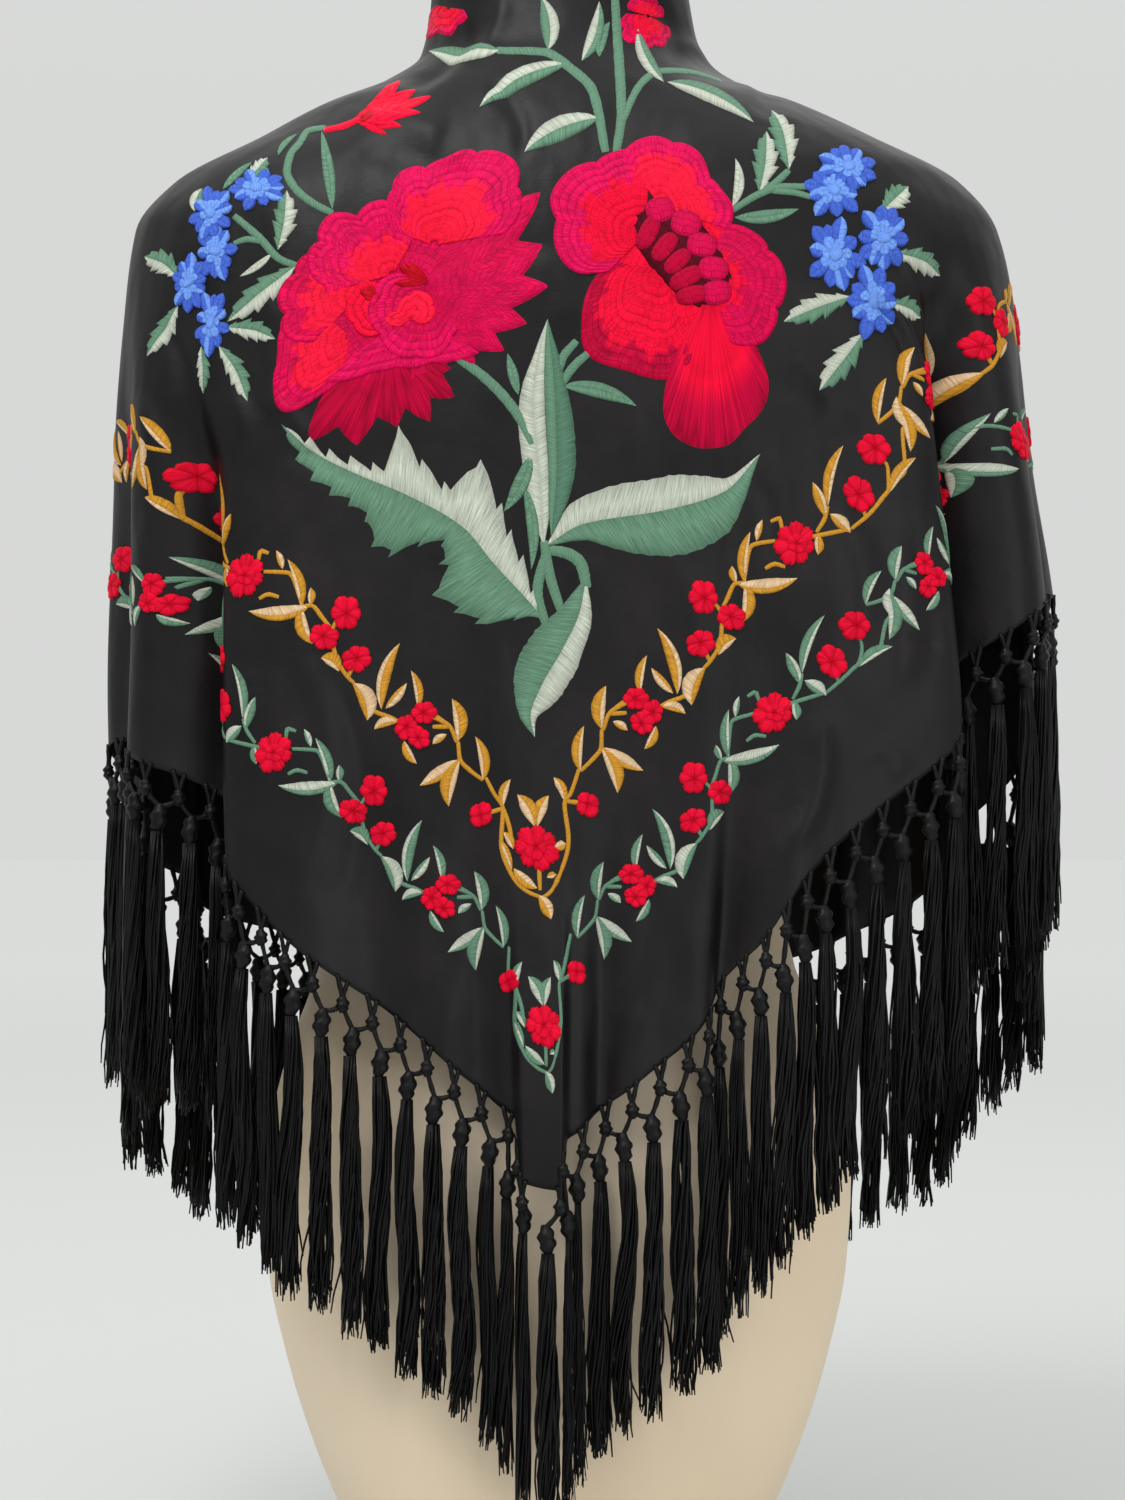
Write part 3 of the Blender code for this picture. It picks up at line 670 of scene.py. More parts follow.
@dataclass(frozen=True)
class SilkThreadFinish:
    """Embroidery silk: streaks and ridges that follow each patch's stitches."""

    name: str = "embroidery_silk"
    roughness: float = 0.50
    specular: float = 0.06
    threads_per_metre: float = 1350.0
    streaks_per_metre: float = 70.0
    rows_per_metre: float = 0.0
    # Maps the relief height to a colour scale: painted sheen on raised threads, painted shade in the grooves.
    painted_shading: tuple[float, ...] = (0.28, 0.72, 0.48, 1.20)
    groove: tuple[float, ...] = (0.0, 0.13, 0.62, 1.0)

    def build(self) -> bpy.types.Material:
        """Makes the material: the patch's own colour, streaked along the threads in its UV map, lighter on
        the raised threads and darker in the grooves: painted sheen and painted shade over the threads' own
        uneven tone.
        """
        board = NodeBoard(self.name)
        thread = board.node("ShaderNodeUVMap", uv_map="thread").outputs["UV"]
        silk = board.node("ShaderNodeVertexColor", layer_name="silk").outputs["Color"]
        where = board.stretched(thread, (self.streaks_per_metre, self.threads_per_metre, 1.0))
        if self.rows_per_metre:
            height = self.rows(board, thread, where)
        else:
            height = self.streaks(board, where)
        mixed = board.node("ShaderNodeVectorMath", operation="SCALE")
        board.join(silk, mixed.inputs[0])
        # The relief height also scales the colour: painted sheen where threads stand up, painted shade in the
        # grooves between rows.
        board.join(board.mapped(height, *self.painted_shading), mixed.inputs["Scale"])
        board.join(mixed.outputs["Vector"], board.shader.inputs["Base Color"])
        return board.finished(self.roughness, self.specular, board.bump(height, 0.85, 0.00060))

    @staticmethod
    def streaks(board: NodeBoard, where: Socket) -> Socket:
        """The streaks of single threads."""
        return board.noise(where, 1.0, 3.0, Roughness=0.65)

    def rows(self, board: NodeBoard, thread: Socket, where: Socket) -> Socket:
        """Breaks the threads into rows of short stitches, as in a filled petal.

        The row is the whole part of rows * u + 0.9 * noise. It moves the
        streaks, so each row has its own threads, and every row's two ends
        are grooves.

        Args:
            board: The material's nodes.
            thread: The UV map, u along the thread.
            where: The streaks' own coordinate.

        Returns:
            The streaks with the grooves between rows.
        """
        along = board.node("ShaderNodeSeparateXYZ")
        board.join(thread, along.inputs[0])
        wobble = board.noise(board.stretched(thread, (50.0, 260.0, 1.0)), 1.0, 1.0)
        drift = board.maths("MULTIPLY", wobble, 0.9)
        place = board.maths("MULTIPLY_ADD", along.outputs[0], self.rows_per_metre, drift)
        moved = board.node("ShaderNodeCombineXYZ")
        board.join(board.maths("MULTIPLY", board.maths("FLOOR", place), 3.7), moved.inputs[2])
        shifted = board.node("ShaderNodeVectorMath", operation="ADD")
        board.join(where, shifted.inputs[0])
        board.join(moved.outputs[0], shifted.inputs[1])
        groove = board.mapped(board.maths("PINGPONG", place, 0.5), *self.groove)
        return board.maths("MULTIPLY", self.streaks(board, shifted.outputs[0]), groove)


@dataclass(frozen=True)
class CordFinish:
    """Black silk cord and floss of the fringe."""

    name: str = "black_silk_cord"
    tones: tuple[Triple, Triple] = ((0.0022, 0.0022, 0.0024), (0.0068, 0.0066, 0.0070))
    stops: tuple[float, float] = (0.36, 0.70)
    roughness: float = 0.42
    specular: float = 0.15

    def build(self) -> bpy.types.Material:
        """Makes the material: tone that changes from thread to thread and a fine twist."""
        board = NodeBoard(self.name)
        where = board.place()
        board.tone(board.noise(board.stretched(where, (420.0, 420.0, 30.0))), self.tones, self.stops)
        twist = board.noise(board.stretched(where, (1600.0, 1600.0, 1100.0)))
        return board.finished(self.roughness, self.specular, board.bump(twist, 0.5, 0.0003))


@dataclass(frozen=True)
class ShellFinish:
    """The dress form's smooth matt shell."""

    name: str = "beige_shell"
    tones: tuple[Triple, Triple] = (linear(226, 208, 182), linear(219, 198, 168))
    stops: tuple[float, float] = (0.35, 0.70)
    roughness: float = 0.48

    def build(self) -> bpy.types.Material:
        """Makes the material: two close beiges in soft clouds and a faint moulding grain."""
        board = NodeBoard(self.name)
        where = board.place()
        board.tone(board.noise(where, 5.0, 3.0), self.tones, self.stops)
        return board.finished(self.roughness, None, board.bump(board.noise(where, 420.0), 0.08, 0.0004))


@dataclass(frozen=True)
class FloorFinish:
    """Plain pale studio floor."""

    name: str = "pale_floor"
    tones: tuple[Triple, Triple] = ((0.530, 0.538, 0.530), (0.630, 0.636, 0.630))
    reach: tuple[float, float] = (0.4, 6.0)
    roughness: float = 0.8

    def build(self) -> bpy.types.Material:
        """Makes the material: a pale tone that grows lighter away from the form, as painted light that makes
        up for the lamps' light falling off with distance.
        """
        board = NodeBoard(self.name)
        distance = board.node("ShaderNodeVectorMath", operation="LENGTH")
        board.join(board.place(), distance.inputs[0])
        # Painted light: the floor is lighter far out, where less lamp light reaches it, so that it meets the
        # surround evenly.
        board.tone(board.mapped(distance.outputs["Value"], *self.reach), self.tones, (0.0, 1.0))
        return board.finished(self.roughness, None, None)


# --- The dress form -------------------------------------------------------------------
@dataclass
class DressForm:
    """The limbless form: one smooth shell through its sections."""

    neck_radius: float = 0.058
    neck_top: float = 0.940
    shoulder_heights: tuple[float, ...] = (0.812, 0.826, 0.840, 0.853, 0.865, 0.876, 0.888, 0.902)
    shoulder_inset: float = 0.0024
    shoulder_depth: float = 0.86
    round_edge: float = 0.006
    rows: int = 110
    columns: int = 128

    def sections(self) -> list[Section]:
        """The body's sections, the shoulders read from inside the cloth, and the neck."""
        rings = list(FORM_SECTIONS)
        for height in self.shoulder_heights:
            columns = section_at(SHAWL_SECTIONS, np.array([height]))
            left, right, back, front, square = (float(column[0]) for column in columns)
            inset = self.shoulder_inset
            rings.append(
                Section(
                    height - inset,
                    left - inset,
                    right - inset,
                    self.shoulder_depth * back,
                    self.shoulder_depth * front,
                    square,
                )
            )
        for height, radius in (
            (self.neck_top - self.round_edge, self.neck_radius),
            (self.neck_top, self.neck_radius - self.round_edge),
        ):
            rings.append(Section(height, radius, radius, radius, radius, 2.0))
        return rings

    def build(self, material: bpy.types.Material) -> bpy.types.Object:
        """Lays a fine grid on the sections and closes both ends with a point.

        Args:
            material: The shell's finish.

        Returns:
            The piece.
        """
        rings = self.sections()
        rows = np.array([row.height for row in rings])
        heights = np.interp(np.linspace(0, len(rows) - 1, self.rows), np.arange(len(rows)), rows)
        angle = np.linspace(0, 2 * math.pi, self.columns, endpoint=False)
        grid_angle, grid_height = np.meshgrid(angle, heights)
        wall = ring_point(rings, grid_angle, grid_height)
        middle = wall.mean(axis=1, keepdims=True)
        shrink = np.array([0.999, 0.66, 0.33, 0.002])[:, None, None]
        foot = middle[:1] + (wall[:1] - middle[:1]) * shrink[::-1]
        head = middle[-1:] + (wall[-1:] - middle[-1:]) * shrink
        builder = SurfaceBuilder()
        builder.add_grid(np.concatenate([foot, wall, head])[:, ::-1], wrap=True)
        mesh = builder.mesh("form_shell")
        form = add_piece("form_shell", mesh, material)
        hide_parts("dress_form")
        return form


# --- The cloth ---------------------------------------------------------------------------
@dataclass
class ShawlCloth:
    """The draped triangle of crepe, as a thin shell."""

    drape: Drape
    thickness: float = 0.0008
    back_spacing: float = 0.0036
    side_spacing: float = 0.0054
    tip_spacing: float = 0.0012
    rows: int = 146

    def columns(self) -> np.ndarray:
        """Across values of the grid, closer together on the back."""
        fine = np.linspace(self.drape.front_edge(-1), self.drape.front_edge(1), 4001)
        on_back = smooth_step((fine + 0.30) / 0.06) * smooth_step((0.34 - fine) / 0.06)
        spacing = self.side_spacing + (self.back_spacing - self.side_spacing) * on_back
        near_tip = np.exp(-(((fine - TIP_STRIP.across) / 0.026) ** 6))
        spacing = spacing + near_tip * (self.tip_spacing - spacing)
        count = np.concatenate([[0.0], np.cumsum(np.diff(fine) / spacing[1:])])
        return np.interp(np.linspace(0, count[-1], int(count[-1]) + 1), count, fine)

    def heights(self, across: np.ndarray) -> np.ndarray:
        """Heights [row, column], evenly spaced along the cloth from the neck edge to the hem."""
        samples = np.linspace(0, 1, 241)[:, None]
        top, hem = station_height(TOP_EDGE, across), station_height(HEM, across)
        heights = top + (hem - top) * samples
        points = self.drape.carrier(across + 0 * heights, heights)
        runs = np.linalg.norm(np.diff(points, axis=0), axis=2)
        length = np.concatenate([np.zeros((1, len(across))), np.cumsum(runs, axis=0)])
        even = np.linspace(0, 1, self.rows)
        return np.stack(
            [np.interp(even * length[-1, i], length[:, i], heights[:, i]) for i in range(len(across))], axis=1
        )

    def build(self, material: bpy.types.Material) -> bpy.types.Object:
        """Makes the shell: the drape on a grid, thickened inwards.

        Args:
            material: The crepe.

        Returns:
            The piece.
        """
        across = self.columns()
        heights = self.heights(across)
        builder = SurfaceBuilder()
        flat = np.stack(np.broadcast_arrays(across[None], heights), axis=-1)
        builder.add_grid(self.drape.place(across + 0 * heights, heights), uv=flat)
        cloth = add_piece("draped_crepe", builder.mesh("draped_crepe"), material)
        wall = cloth.modifiers.new("wall", "SOLIDIFY")
        wall.thickness = self.thickness
        wall.offset = -1.0
        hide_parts("shawl_cloth")
        return cloth


# --- The fringe ----------------------------------------------------------------------------
@dataclass
class Fringe:
    """One leg's fringe: hem loops, two rows of knots, their cords and the tassels."""

    drape: Drape
    side: int
    start: float
    first_tassel: int
    length: float = 0.190
    pitch: float = 0.0200
    end: float = 0.0030
    reach: float = 0.0080
    upper_drop: float = 0.0115
    neck_half: float = 0.0036
    mesh_drop: float = 0.0078
    mesh_shift: float = 0.22
    cord_fall: float = 0.0036
    end_drop: float = 0.0110
    end_shift: float = 0.0040
    upper_size: tuple[float, float] = (0.0092, 0.0038)
    lower_size: tuple[float, float] = (0.0162, 0.0049)
    cord_radius: float = 0.00140
    strands: int = 46
    strand_rings: int = 13
    strand_radius: float = 0.00088
    tip_shift: float = 0.0042
    tassel_room: float = 0.0118
    bundle_depths: tuple[float, ...] = (0, 0.05, 0.22, 0.6, 1)
    bundle_radii: tuple[float, ...] = (0.0032, 0.0042, 0.0051, 0.0062, 0.0068)
    knot_rings: int = 10
    knot_sides: int = 9
    cord_sides: int = 6
    strand_sides: int = 3
    hem: dict[str, np.ndarray] = field(default_factory=dict)

    def measure(self) -> None:
        """Measures along the hem from the tip outwards, on the cloth's outside."""
        tip = TIP_STRIP.across
        across = np.linspace(tip, self.drape.front_edge(self.side), 2400)
        points = self.drape.place(across, station_height(HEM, across))
        runs = np.linalg.norm(np.diff(points, axis=0), axis=1)
        self.hem = {"points": points, "length": np.concatenate([[0.0], np.cumsum(runs)])}

    def hem_point(self, distance: np.ndarray) -> np.ndarray:
        """Points of the hem at distances from the tip."""
        columns = [np.interp(distance, self.hem["length"], self.hem["points"][:, axis]) for axis in range(3)]
        return np.stack(columns, axis=-1)

    def level_direction(self, distance: np.ndarray) -> np.ndarray:
        """Horizontal unit vectors along the hem, away from the tip."""
        middle = np.clip(distance, self.reach, self.hem["length"][-1] - self.reach)
        ahead = self.hem_point(middle + self.reach) - self.hem_point(middle - self.reach)
        ahead[..., 2] = 0.0
        return unit(ahead)

    def layout(self) -> dict[str, np.ndarray]:
        """Places of the knots, by the same rules as the fringe's solid.

        Returns:
            Arrays: middles, uppers, numbers (the pitch-numbered lower knots), lowers,
            direction, hem_height, room (each lower knot's room share) and units.
        """
        run = float(self.hem["length"][-1]) - self.start - self.end
        units = round(run / self.pitch)
        pitch = run / units
        middles = self.start + (np.arange(units) + 0.5) * pitch
        uppers = self.hem_point(middles) - [0, 0, self.upper_drop]
        numbers = np.arange(self.first_tassel, units + 1)
        here = self.start + numbers * pitch
        direction = self.level_direction(here)
        inner = uppers[np.clip(numbers - 1, 0, units - 1)]
        outer = uppers[np.clip(numbers, 0, units - 1)]
        rise = (outer - inner)[:, 2]
        lowers = (inner + outer) / 2 + self.mesh_shift * rise[:, None] * direction
        lowers[:, 2] = np.minimum(
            (inner + outer)[:, 2] / 2 - self.mesh_drop,
            np.minimum(inner[:, 2], outer[:, 2]) - self.cord_fall,
        )
        for number, only, way in ((0, uppers[0], -1), (units, uppers[-1], 1)):
            at_end = numbers == number
            lowers[at_end] = only + way * self.end_shift * direction[at_end] - [0, 0, self.end_drop]
        lowers[0, 0] -= self.side * self.tip_shift
        apart = np.linalg.norm(lowers[:, None, :2] - lowers[None, :, :2], axis=2)
        np.fill_diagonal(apart, self.tassel_room)
        room = np.minimum(1.0, apart.min(axis=1) / self.tassel_room)
        return {
            "middles": middles,
            "uppers": uppers,
            "numbers": numbers,
            "lowers": lowers,
            "direction": direction,
            "hem_height": self.hem_point(here)[:, 2],
            "room": room,
            "units": np.array(units),
        }

    @staticmethod
    def outward(direction: np.ndarray) -> np.ndarray:
        """Horizontal normals beside level directions."""
        return np.stack([direction[..., 1], -direction[..., 0], 0 * direction[..., 0]], axis=-1)

    def cords(
        self, starts: np.ndarray, ends: np.ndarray, sag: float, outward: np.ndarray, builder: SurfaceBuilder
    ) -> None:
        """Adds cords that sag a little between two rows of points.

        Args:
            starts: Upper ends.
            ends: Lower ends.
            sag: How far the middle hangs below the straight line.
            outward: Horizontal normal at each cord.
            builder: Takes the tubes.
        """
        part = np.linspace(0, 1, 7)
        paths = starts[:, None] + (ends - starts)[:, None] * part[None, :, None]
        paths[..., 2] -= sag * 4 * part * (1 - part)
        turn = np.arange(len(starts))[:, None] * 1.9
        radii = self.cord_radius * (1 + 0.10 * np.sin(turn + 11 * part[None]))
        builder.add_tubes(paths, radii, outward, self.cord_sides)

    def knots(
        self,
        tops: np.ndarray,
        size: tuple[float, float],
        lean: np.ndarray,
        outward: np.ndarray,
        builder: SurfaceBuilder,
    ) -> None:
        """Adds wrapped knots.

        A knot is a lofted spindle whose radius swells along a half sine and
        is ribbed by two turns of cord wound aslant.

        Args:
            tops: The knots' tops.
            size: Length and half-width.
            lean: Sideways shift of each knot's foot, as a vector.
            outward: Horizontal normal at each knot.
            builder: Takes the surfaces.
        """
        length, half = size
        rings, sides = self.knot_rings, self.knot_sides
        part = np.linspace(0, 1, rings)
        angle = 2 * math.pi * np.arange(sides) / sides
        swell = np.sin(math.pi * np.clip(part, 0.04, 0.96)) ** 0.42
        turn = np.arange(len(tops)) * 2.4
        wound = 2 * math.pi * 2.4 * part[None, :, None]
        ribs = 1 + 0.17 * np.cos(wound + angle[None, None] + turn[:, None, None])
        radius = half * swell[None, :, None] * ribs
        side = np.cross(outward, [0, 0, 1.0])
        cosine, sine = np.cos(angle)[None, :, None], np.sin(angle)[None, :, None]
        ring = cosine * side[:, None] + 0.86 * sine * outward[:, None]
        axis = tops[:, None] + lean[:, None] * part[None, :, None]
        axis[..., 2] -= length * part
        points = axis[:, :, None] + radius[..., None] * ring[:, None]
        for knot in points:
            builder.add_grid(knot[:, ::-1], wrap=True)

    def tassels(self, tops: np.ndarray, plan: dict[str, np.ndarray], builder: SurfaceBuilder) -> None:
        """Adds the loose threads of every tassel.

        A thread's offset from its tassel's middle is the bundle's radius at
        that depth times its own share, at an angle that slowly turns, plus a
        wander that grows towards the ragged end.

        Args:
            tops: Foot of each lower knot.
            plan: The fringe's layout.
            builder: Takes the threads.
        """
        count, strands, rings = len(tops), self.strands, self.strand_rings
        draws = np.random.default_rng(40 + self.side)
        part = np.linspace(0, 1, rings) ** 0.92
        ragged = draws.uniform(0.90, 1.0, (count, strands))
        strays = draws.uniform(size=(count, strands)) > 0.93
        end = plan["hem_height"] - self.length + 0.003 * draws.uniform(-1, 1, count)
        length = (tops[:, 2] - end)[:, None] * np.where(strays, ragged * 0.8 + 0.12, ragged)
        share = np.sqrt(draws.uniform(0.02, 1.0, (count, strands)))
        start_angle = draws.uniform(0, 2 * math.pi, (count, strands))
        twist = draws.uniform(0.6, 2.2, (count, 1))
        bundle = plan["room"][:, None] * np.interp(part, self.bundle_depths, self.bundle_radii)
        radius = bundle[:, None] * share[..., None]
        angle = start_angle[..., None] + twist[..., None] * 2.0 * part
        swing = draws.normal(0, 0.0016, (count, 1, 1)) * part**1.5
        sway = swing + draws.normal(0, 0.0009, (count, 1, 1)) * np.sin(math.pi * 2 * part)
        wave = draws.uniform(0, 6.28, (count, strands, 1))
        strength = draws.uniform(0.2, 1.2, (count, strands, 1))
        wander = (0.00035 + 0.0009 * part) * np.sin(wave + 17 * part) * strength
        loose = np.where(strays[..., None], 0.0035 * part**2 * draws.normal(0, 1, (count, strands, 1)), 0)
        across_shift = radius * np.cos(angle) + sway + wander + loose
        out_shift = 0.78 * radius * np.sin(angle) + 0.5 * wander
        direction, outward = plan["direction"], self.outward(plan["direction"])
        paths = (
            tops[:, None, None]
            + across_shift[..., None] * direction[:, None, None]
            + out_shift[..., None] * outward[:, None, None]
        )
        paths[..., 2] -= length[..., None] * part
        radii = self.strand_radius * plan["room"][:, None, None] * (1 - 0.45 * part**6) * np.ones_like(wave)
        builder.add_tubes(
            paths.reshape(-1, rings, 3),
            radii.reshape(-1, rings),
            np.repeat(outward, strands, axis=0),
            self.strand_sides,
        )

    def build(self, material: bpy.types.Material) -> list[bpy.types.Object]:
        """Makes the net and the tassels.

        Args:
            material: The silk cord.

        Returns:
            The net piece and the tassel piece.
        """
        self.measure()
        plan = self.layout()
        word = "left" if self.side < 0 else "right"
        net = SurfaceBuilder()
        middles, uppers, lowers = plan["middles"], plan["uppers"], plan["lowers"]
        upper_way = self.level_direction(middles)
        upper_out = self.outward(upper_way)
        no_lean = np.zeros_like(uppers)
        self.knots(uppers + [0, 0, 0.0035], self.upper_size, no_lean, upper_out, net)
        for way in (-1, 1):
            roots = self.hem_point(middles + way * self.neck_half) + [0, 0, 0.0018]
            self.cords(roots, uppers + [0, 0, 0.0022], -0.0004, upper_out, net)
        out = self.outward(plan["direction"])
        units = int(plan["units"])
        numbers = plan["numbers"]
        for shift in (-1, 0):
            fits = (numbers + shift >= 0) & (numbers + shift < units)
            start = uppers[(numbers + shift)[fits]] - [0, 0, 0.0016]
            self.cords(start, lowers[fits] - [0, 0, 0.0006], 0.0012, out[fits], net)
        rise = np.sign(np.gradient(plan["hem_height"]))[:, None]
        lean = 0.0015 * rise * plan["direction"]
        self.knots(lowers + [0, 0, 0.0006], self.lower_size, lean, out, net)
        net_piece = add_piece(f"knotted_net_{word}", net.mesh(f"knotted_net_{word}"), material)
        floss = SurfaceBuilder()
        foot = lowers + lean - [0, 0, self.lower_size[0] - 0.0012]
        self.tassels(foot, plan, floss)
        floss_piece = add_piece(f"tassels_{word}", floss.mesh(f"tassels_{word}"), material)
        for piece in (net_piece, floss_piece):
            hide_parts(f"fringe_{word}")
        return [net_piece, floss_piece]


# --- Embroidery: flat patches of satin stitch -------------------------------------------
MM = 0.001
Place = tuple[float, float]
Colour = tuple[float, float, float]

CRIMSON = linear(212, 4, 74)
DEEP_CRIMSON = linear(188, 0, 54)
ROSE = linear(222, 6, 84)
RED = linear(244, 8, 54)
BRIGHT_RED = linear(255, 22, 60)
# A dark red silk, also used as painted shade in blossom grooves and among the large petals.
DARK_RED_AND_PAINTED_SHADE = linear(190, 0, 28)
POPPY_RED = linear(228, 10, 48)
SHADOW_RED = linear(86, 0, 24)
SAGE = linear(100, 138, 114)
DEEP_SAGE = linear(84, 122, 100)
MINT = linear(187, 193, 178)
BLUE = linear(68, 100, 202)
PALE_BLUE = linear(110, 152, 234)
GOLD = linear(200, 142, 46)
PEACH = linear(220, 187, 147)


class Layout(Enum):
    """How a flat drawing's two numbers are read."""

    SEEN = "x and z as seen from straight behind"
    CLOTH = "across and height on the cloth"


class Edging(Enum):
    """How the rim of a fan of petals is cut."""

    PLAIN = "plain"
    SCALLOPED = "scalloped"
    POINTED = "pointed"


def through(places: Sequence[Place], count: int) -> np.ndarray:
    """A smooth flat curve through a few places, evenly spaced along its chords.

    Each coordinate is the overshoot-free cubic of the chord length.

    Args:
        places: The places that the curve meets.
        count: How many points to give.

    Returns:
        Points [count, 2].
    """
    at = np.asarray(places, float)
    chord = np.concatenate([[0.0], np.cumsum(np.linalg.norm(np.diff(at, axis=0), axis=1))])
    wanted = np.linspace(0, chord[-1], count)
    if len(at) == 2:
        return at[0] + (at[1] - at[0]) * (wanted / chord[-1])[:, None]
    return np.stack([smooth_between(chord, at[:, axis], wanted) for axis in (0, 1)], axis=-1)


def beside(curve: np.ndarray) -> np.ndarray:
    """Unit normals on the left of a flat curve's run."""
    run = unit(np.gradient(curve, axis=0))
    return np.stack([-run[:, 1], run[:, 0]], axis=-1)


def millimetres(*values: float) -> np.ndarray:
    """Sizes in millimetres as metres."""
    return MM * np.asarray(values, float)


@dataclass(frozen=True)
class LeafHalf:
    """One side of a leaf: its widths from base to tip, its teeth and its silk."""

    widths: tuple[float, ...]
    silk: Colour
    teeth: float = 0
    depth: float = 0.0
    slant: float = 0.45
    phase: float = 0.35
    steps: tuple[tuple[float, float], ...] = ()


class Stitchery:
    """Gathers patches of satin stitch in a flat layout and lays them on the drape."""

    SINK = 0.00035
    LAYER = 0.00034
    CROWN = 0.00062

    def __init__(self, drape: Drape, layout: Layout) -> None:
        """Starts an empty drawing.

        Args:
            drape: The cloth's form.
            layout: How the drawing's numbers are read.
        """
        self.drape = drape
        self.layout = layout
        self.builder = SurfaceBuilder()

    def laid(self, rows: np.ndarray) -> np.ndarray:
        """Carries flat places and their lifts on to the draped cloth."""
        first, height, lift = rows.T
        across = self.drape.across_seen(first, height) if self.layout is Layout.SEEN else first
        return self.drape.lifted(across, height, lift)

    def patch(
        self, places: np.ndarray, lift: np.ndarray, thread: np.ndarray, silk: np.ndarray, closed: bool = False
    ) -> None:
        """Adds one patch and turns its grid so that it faces outwards.

        Args:
            places: Flat places [row, column, 2].
            lift: Height above the cloth [row, column].
            thread: Distance along and beside the threads [row, column, 2].
            silk: Colour [row, column, 3].
            closed: True where the last column joins the first.
        """
        down = places[1:, :-1] - places[:-1, :-1]
        over = places[:-1, 1:] - places[:-1, :-1]
        facing = np.sum(down[..., 0] * over[..., 1] - down[..., 1] * over[..., 0])
        grid = np.concatenate([places, lift[..., None]], axis=-1)
        silk = np.broadcast_to(silk, (*lift.shape, 3))
        turn = slice(None, None, -1) if facing < 0 else slice(None)
        self.builder.add_grid(grid[:, turn], thread[:, turn], silk[:, turn], wrap=closed)

    def half(self, rib: np.ndarray, side: int, half: LeafHalf, layer: float) -> None:
        """Adds one side of a leaf.

        The width is the table's smooth curve times 1 - depth * (1 - saw), or
        for a lobed leaf the straight runs between its steps plus depth
        millimetres of saw, where saw is the fraction of teeth * t + phase. A
        thread leaves the rib, runs forward by slant times the width, and is
        padded: its lift is the square root of a half sine.

        Args:
            rib: The midrib from base to tip [row, 2].
            side: +1 for the left of the run, -1 for the right.
            half: The half's sizes and silk.
            layer: How many layers lie below.
        """
        rows = len(rib)
        along = np.linspace(0, 1, rows)
        saw = np.mod(half.teeth * along + half.phase, 1.0)
        if half.steps:
            ends = smooth_step(along / 0.06) * smooth_step((1 - along) / 0.10)
            width = MM * (np.interp(along, *np.transpose(half.steps)) + half.depth * saw * ends)
        else:
            width = smooth_between(np.linspace(0, 1, len(half.widths)), millimetres(*half.widths), along)
            width = width * (1 - half.depth * (1 - saw) ** 0.9)
        width = width * (1 + 0.02 * np.sin(97 * along + 40 * side))
        across = np.array([0.0, 0.12, 0.4, 0.7, 0.92, 1.0])
        normal = side * beside(rib)
        run = unit(np.gradient(rib, axis=0))
        reach = width[:, None] * across
        forward = half.slant * reach * (1 - along[:, None] ** 4)
        places = rib[:, None] + reach[..., None] * normal[:, None] + forward[..., None] * run[:, None]
        pad = np.sqrt(np.clip(np.sin(math.pi * (0.10 + 0.90 * across)), 0, 1))
        scale = np.clip(width / 0.004, 0.25, 1.0)[:, None]
        lift = layer * self.LAYER + self.CROWN * scale * pad
        lift[:, -1] = -self.SINK
        lift[[0, -1]] = np.minimum(lift[[0, -1]], 0.0001 + 0.5 * layer * self.LAYER)
        length = np.linalg.norm(rib[-1] - rib[0])
        thread = np.stack(np.broadcast_arrays(reach, length * along[:, None]), axis=-1)
        thread = thread + [0.013 * len(self.builder.points), 0]
        # Painted shading: the silk is lighter on the padded crown and darker at the rib and the edge, as
        # painted light and painted shade.
        painted_shading = (0.72 + 0.34 * np.sin(math.pi * np.clip(0.12 + across, 0, 1)))[:, None]
        self.patch(places, lift, thread, np.array(half.silk) * painted_shading)

    def leaf(
        self, rib: Sequence[Place], left: LeafHalf, right: LeafHalf, layer: float = 0.0, rows: int = 22
    ) -> None:
        """Adds a leaf of two halves on one curved rib.

        Args:
            rib: A few places from the base to the tip.
            left: The half on the left of the run.
            right: The half on the right of the run.
            layer: How many layers lie below.
            rows: Rows along the rib.
        """
        curve = through(rib, rows)
        self.half(curve, 1, left, layer)
        self.half(curve, -1, right, layer)

    def simple_leaf(
        self,
        base: np.ndarray,
        tip: np.ndarray,
        width: float,
        bow: float,
        silks: tuple[Colour, Colour],
        layer: float = 1.0,
        left_share: float = 0.5,
        blunt: tuple[float, float] = (0.8, 0.8),
    ) -> None:
        """Adds a small two-tone leaf: its width is width * sin(pi t^a)^b on a bowed rib.

        Args:
            base: Where it starts.
            tip: Where it ends.
            width: Its full width in metres.
            bow: How far its middle stands to the left of the straight line.
            silks: The silk of its left and right halves.
            layer: How many layers lie below.
            left_share: The left half's share of the width.
            blunt: The powers a and b: a large a and a small b give a blunt tip.
        """
        base, tip = np.asarray(base, float), np.asarray(tip, float)
        along = np.linspace(0, 1, 12)
        run = tip - base
        rib = base + along[:, None] * run
        rib = rib + (4 * bow * along * (1 - along))[:, None] * unit(np.array([-run[1], run[0]]))
        shape = width / MM * np.clip(np.sin(math.pi * np.linspace(0, 1, 11) ** blunt[0]), 0, 1) ** blunt[1]
        for side, silk, share in ((1, silks[0], left_share), (-1, silks[1], 1 - left_share)):
            self.half(rib, side, LeafHalf(tuple(share * shape), silk), layer)

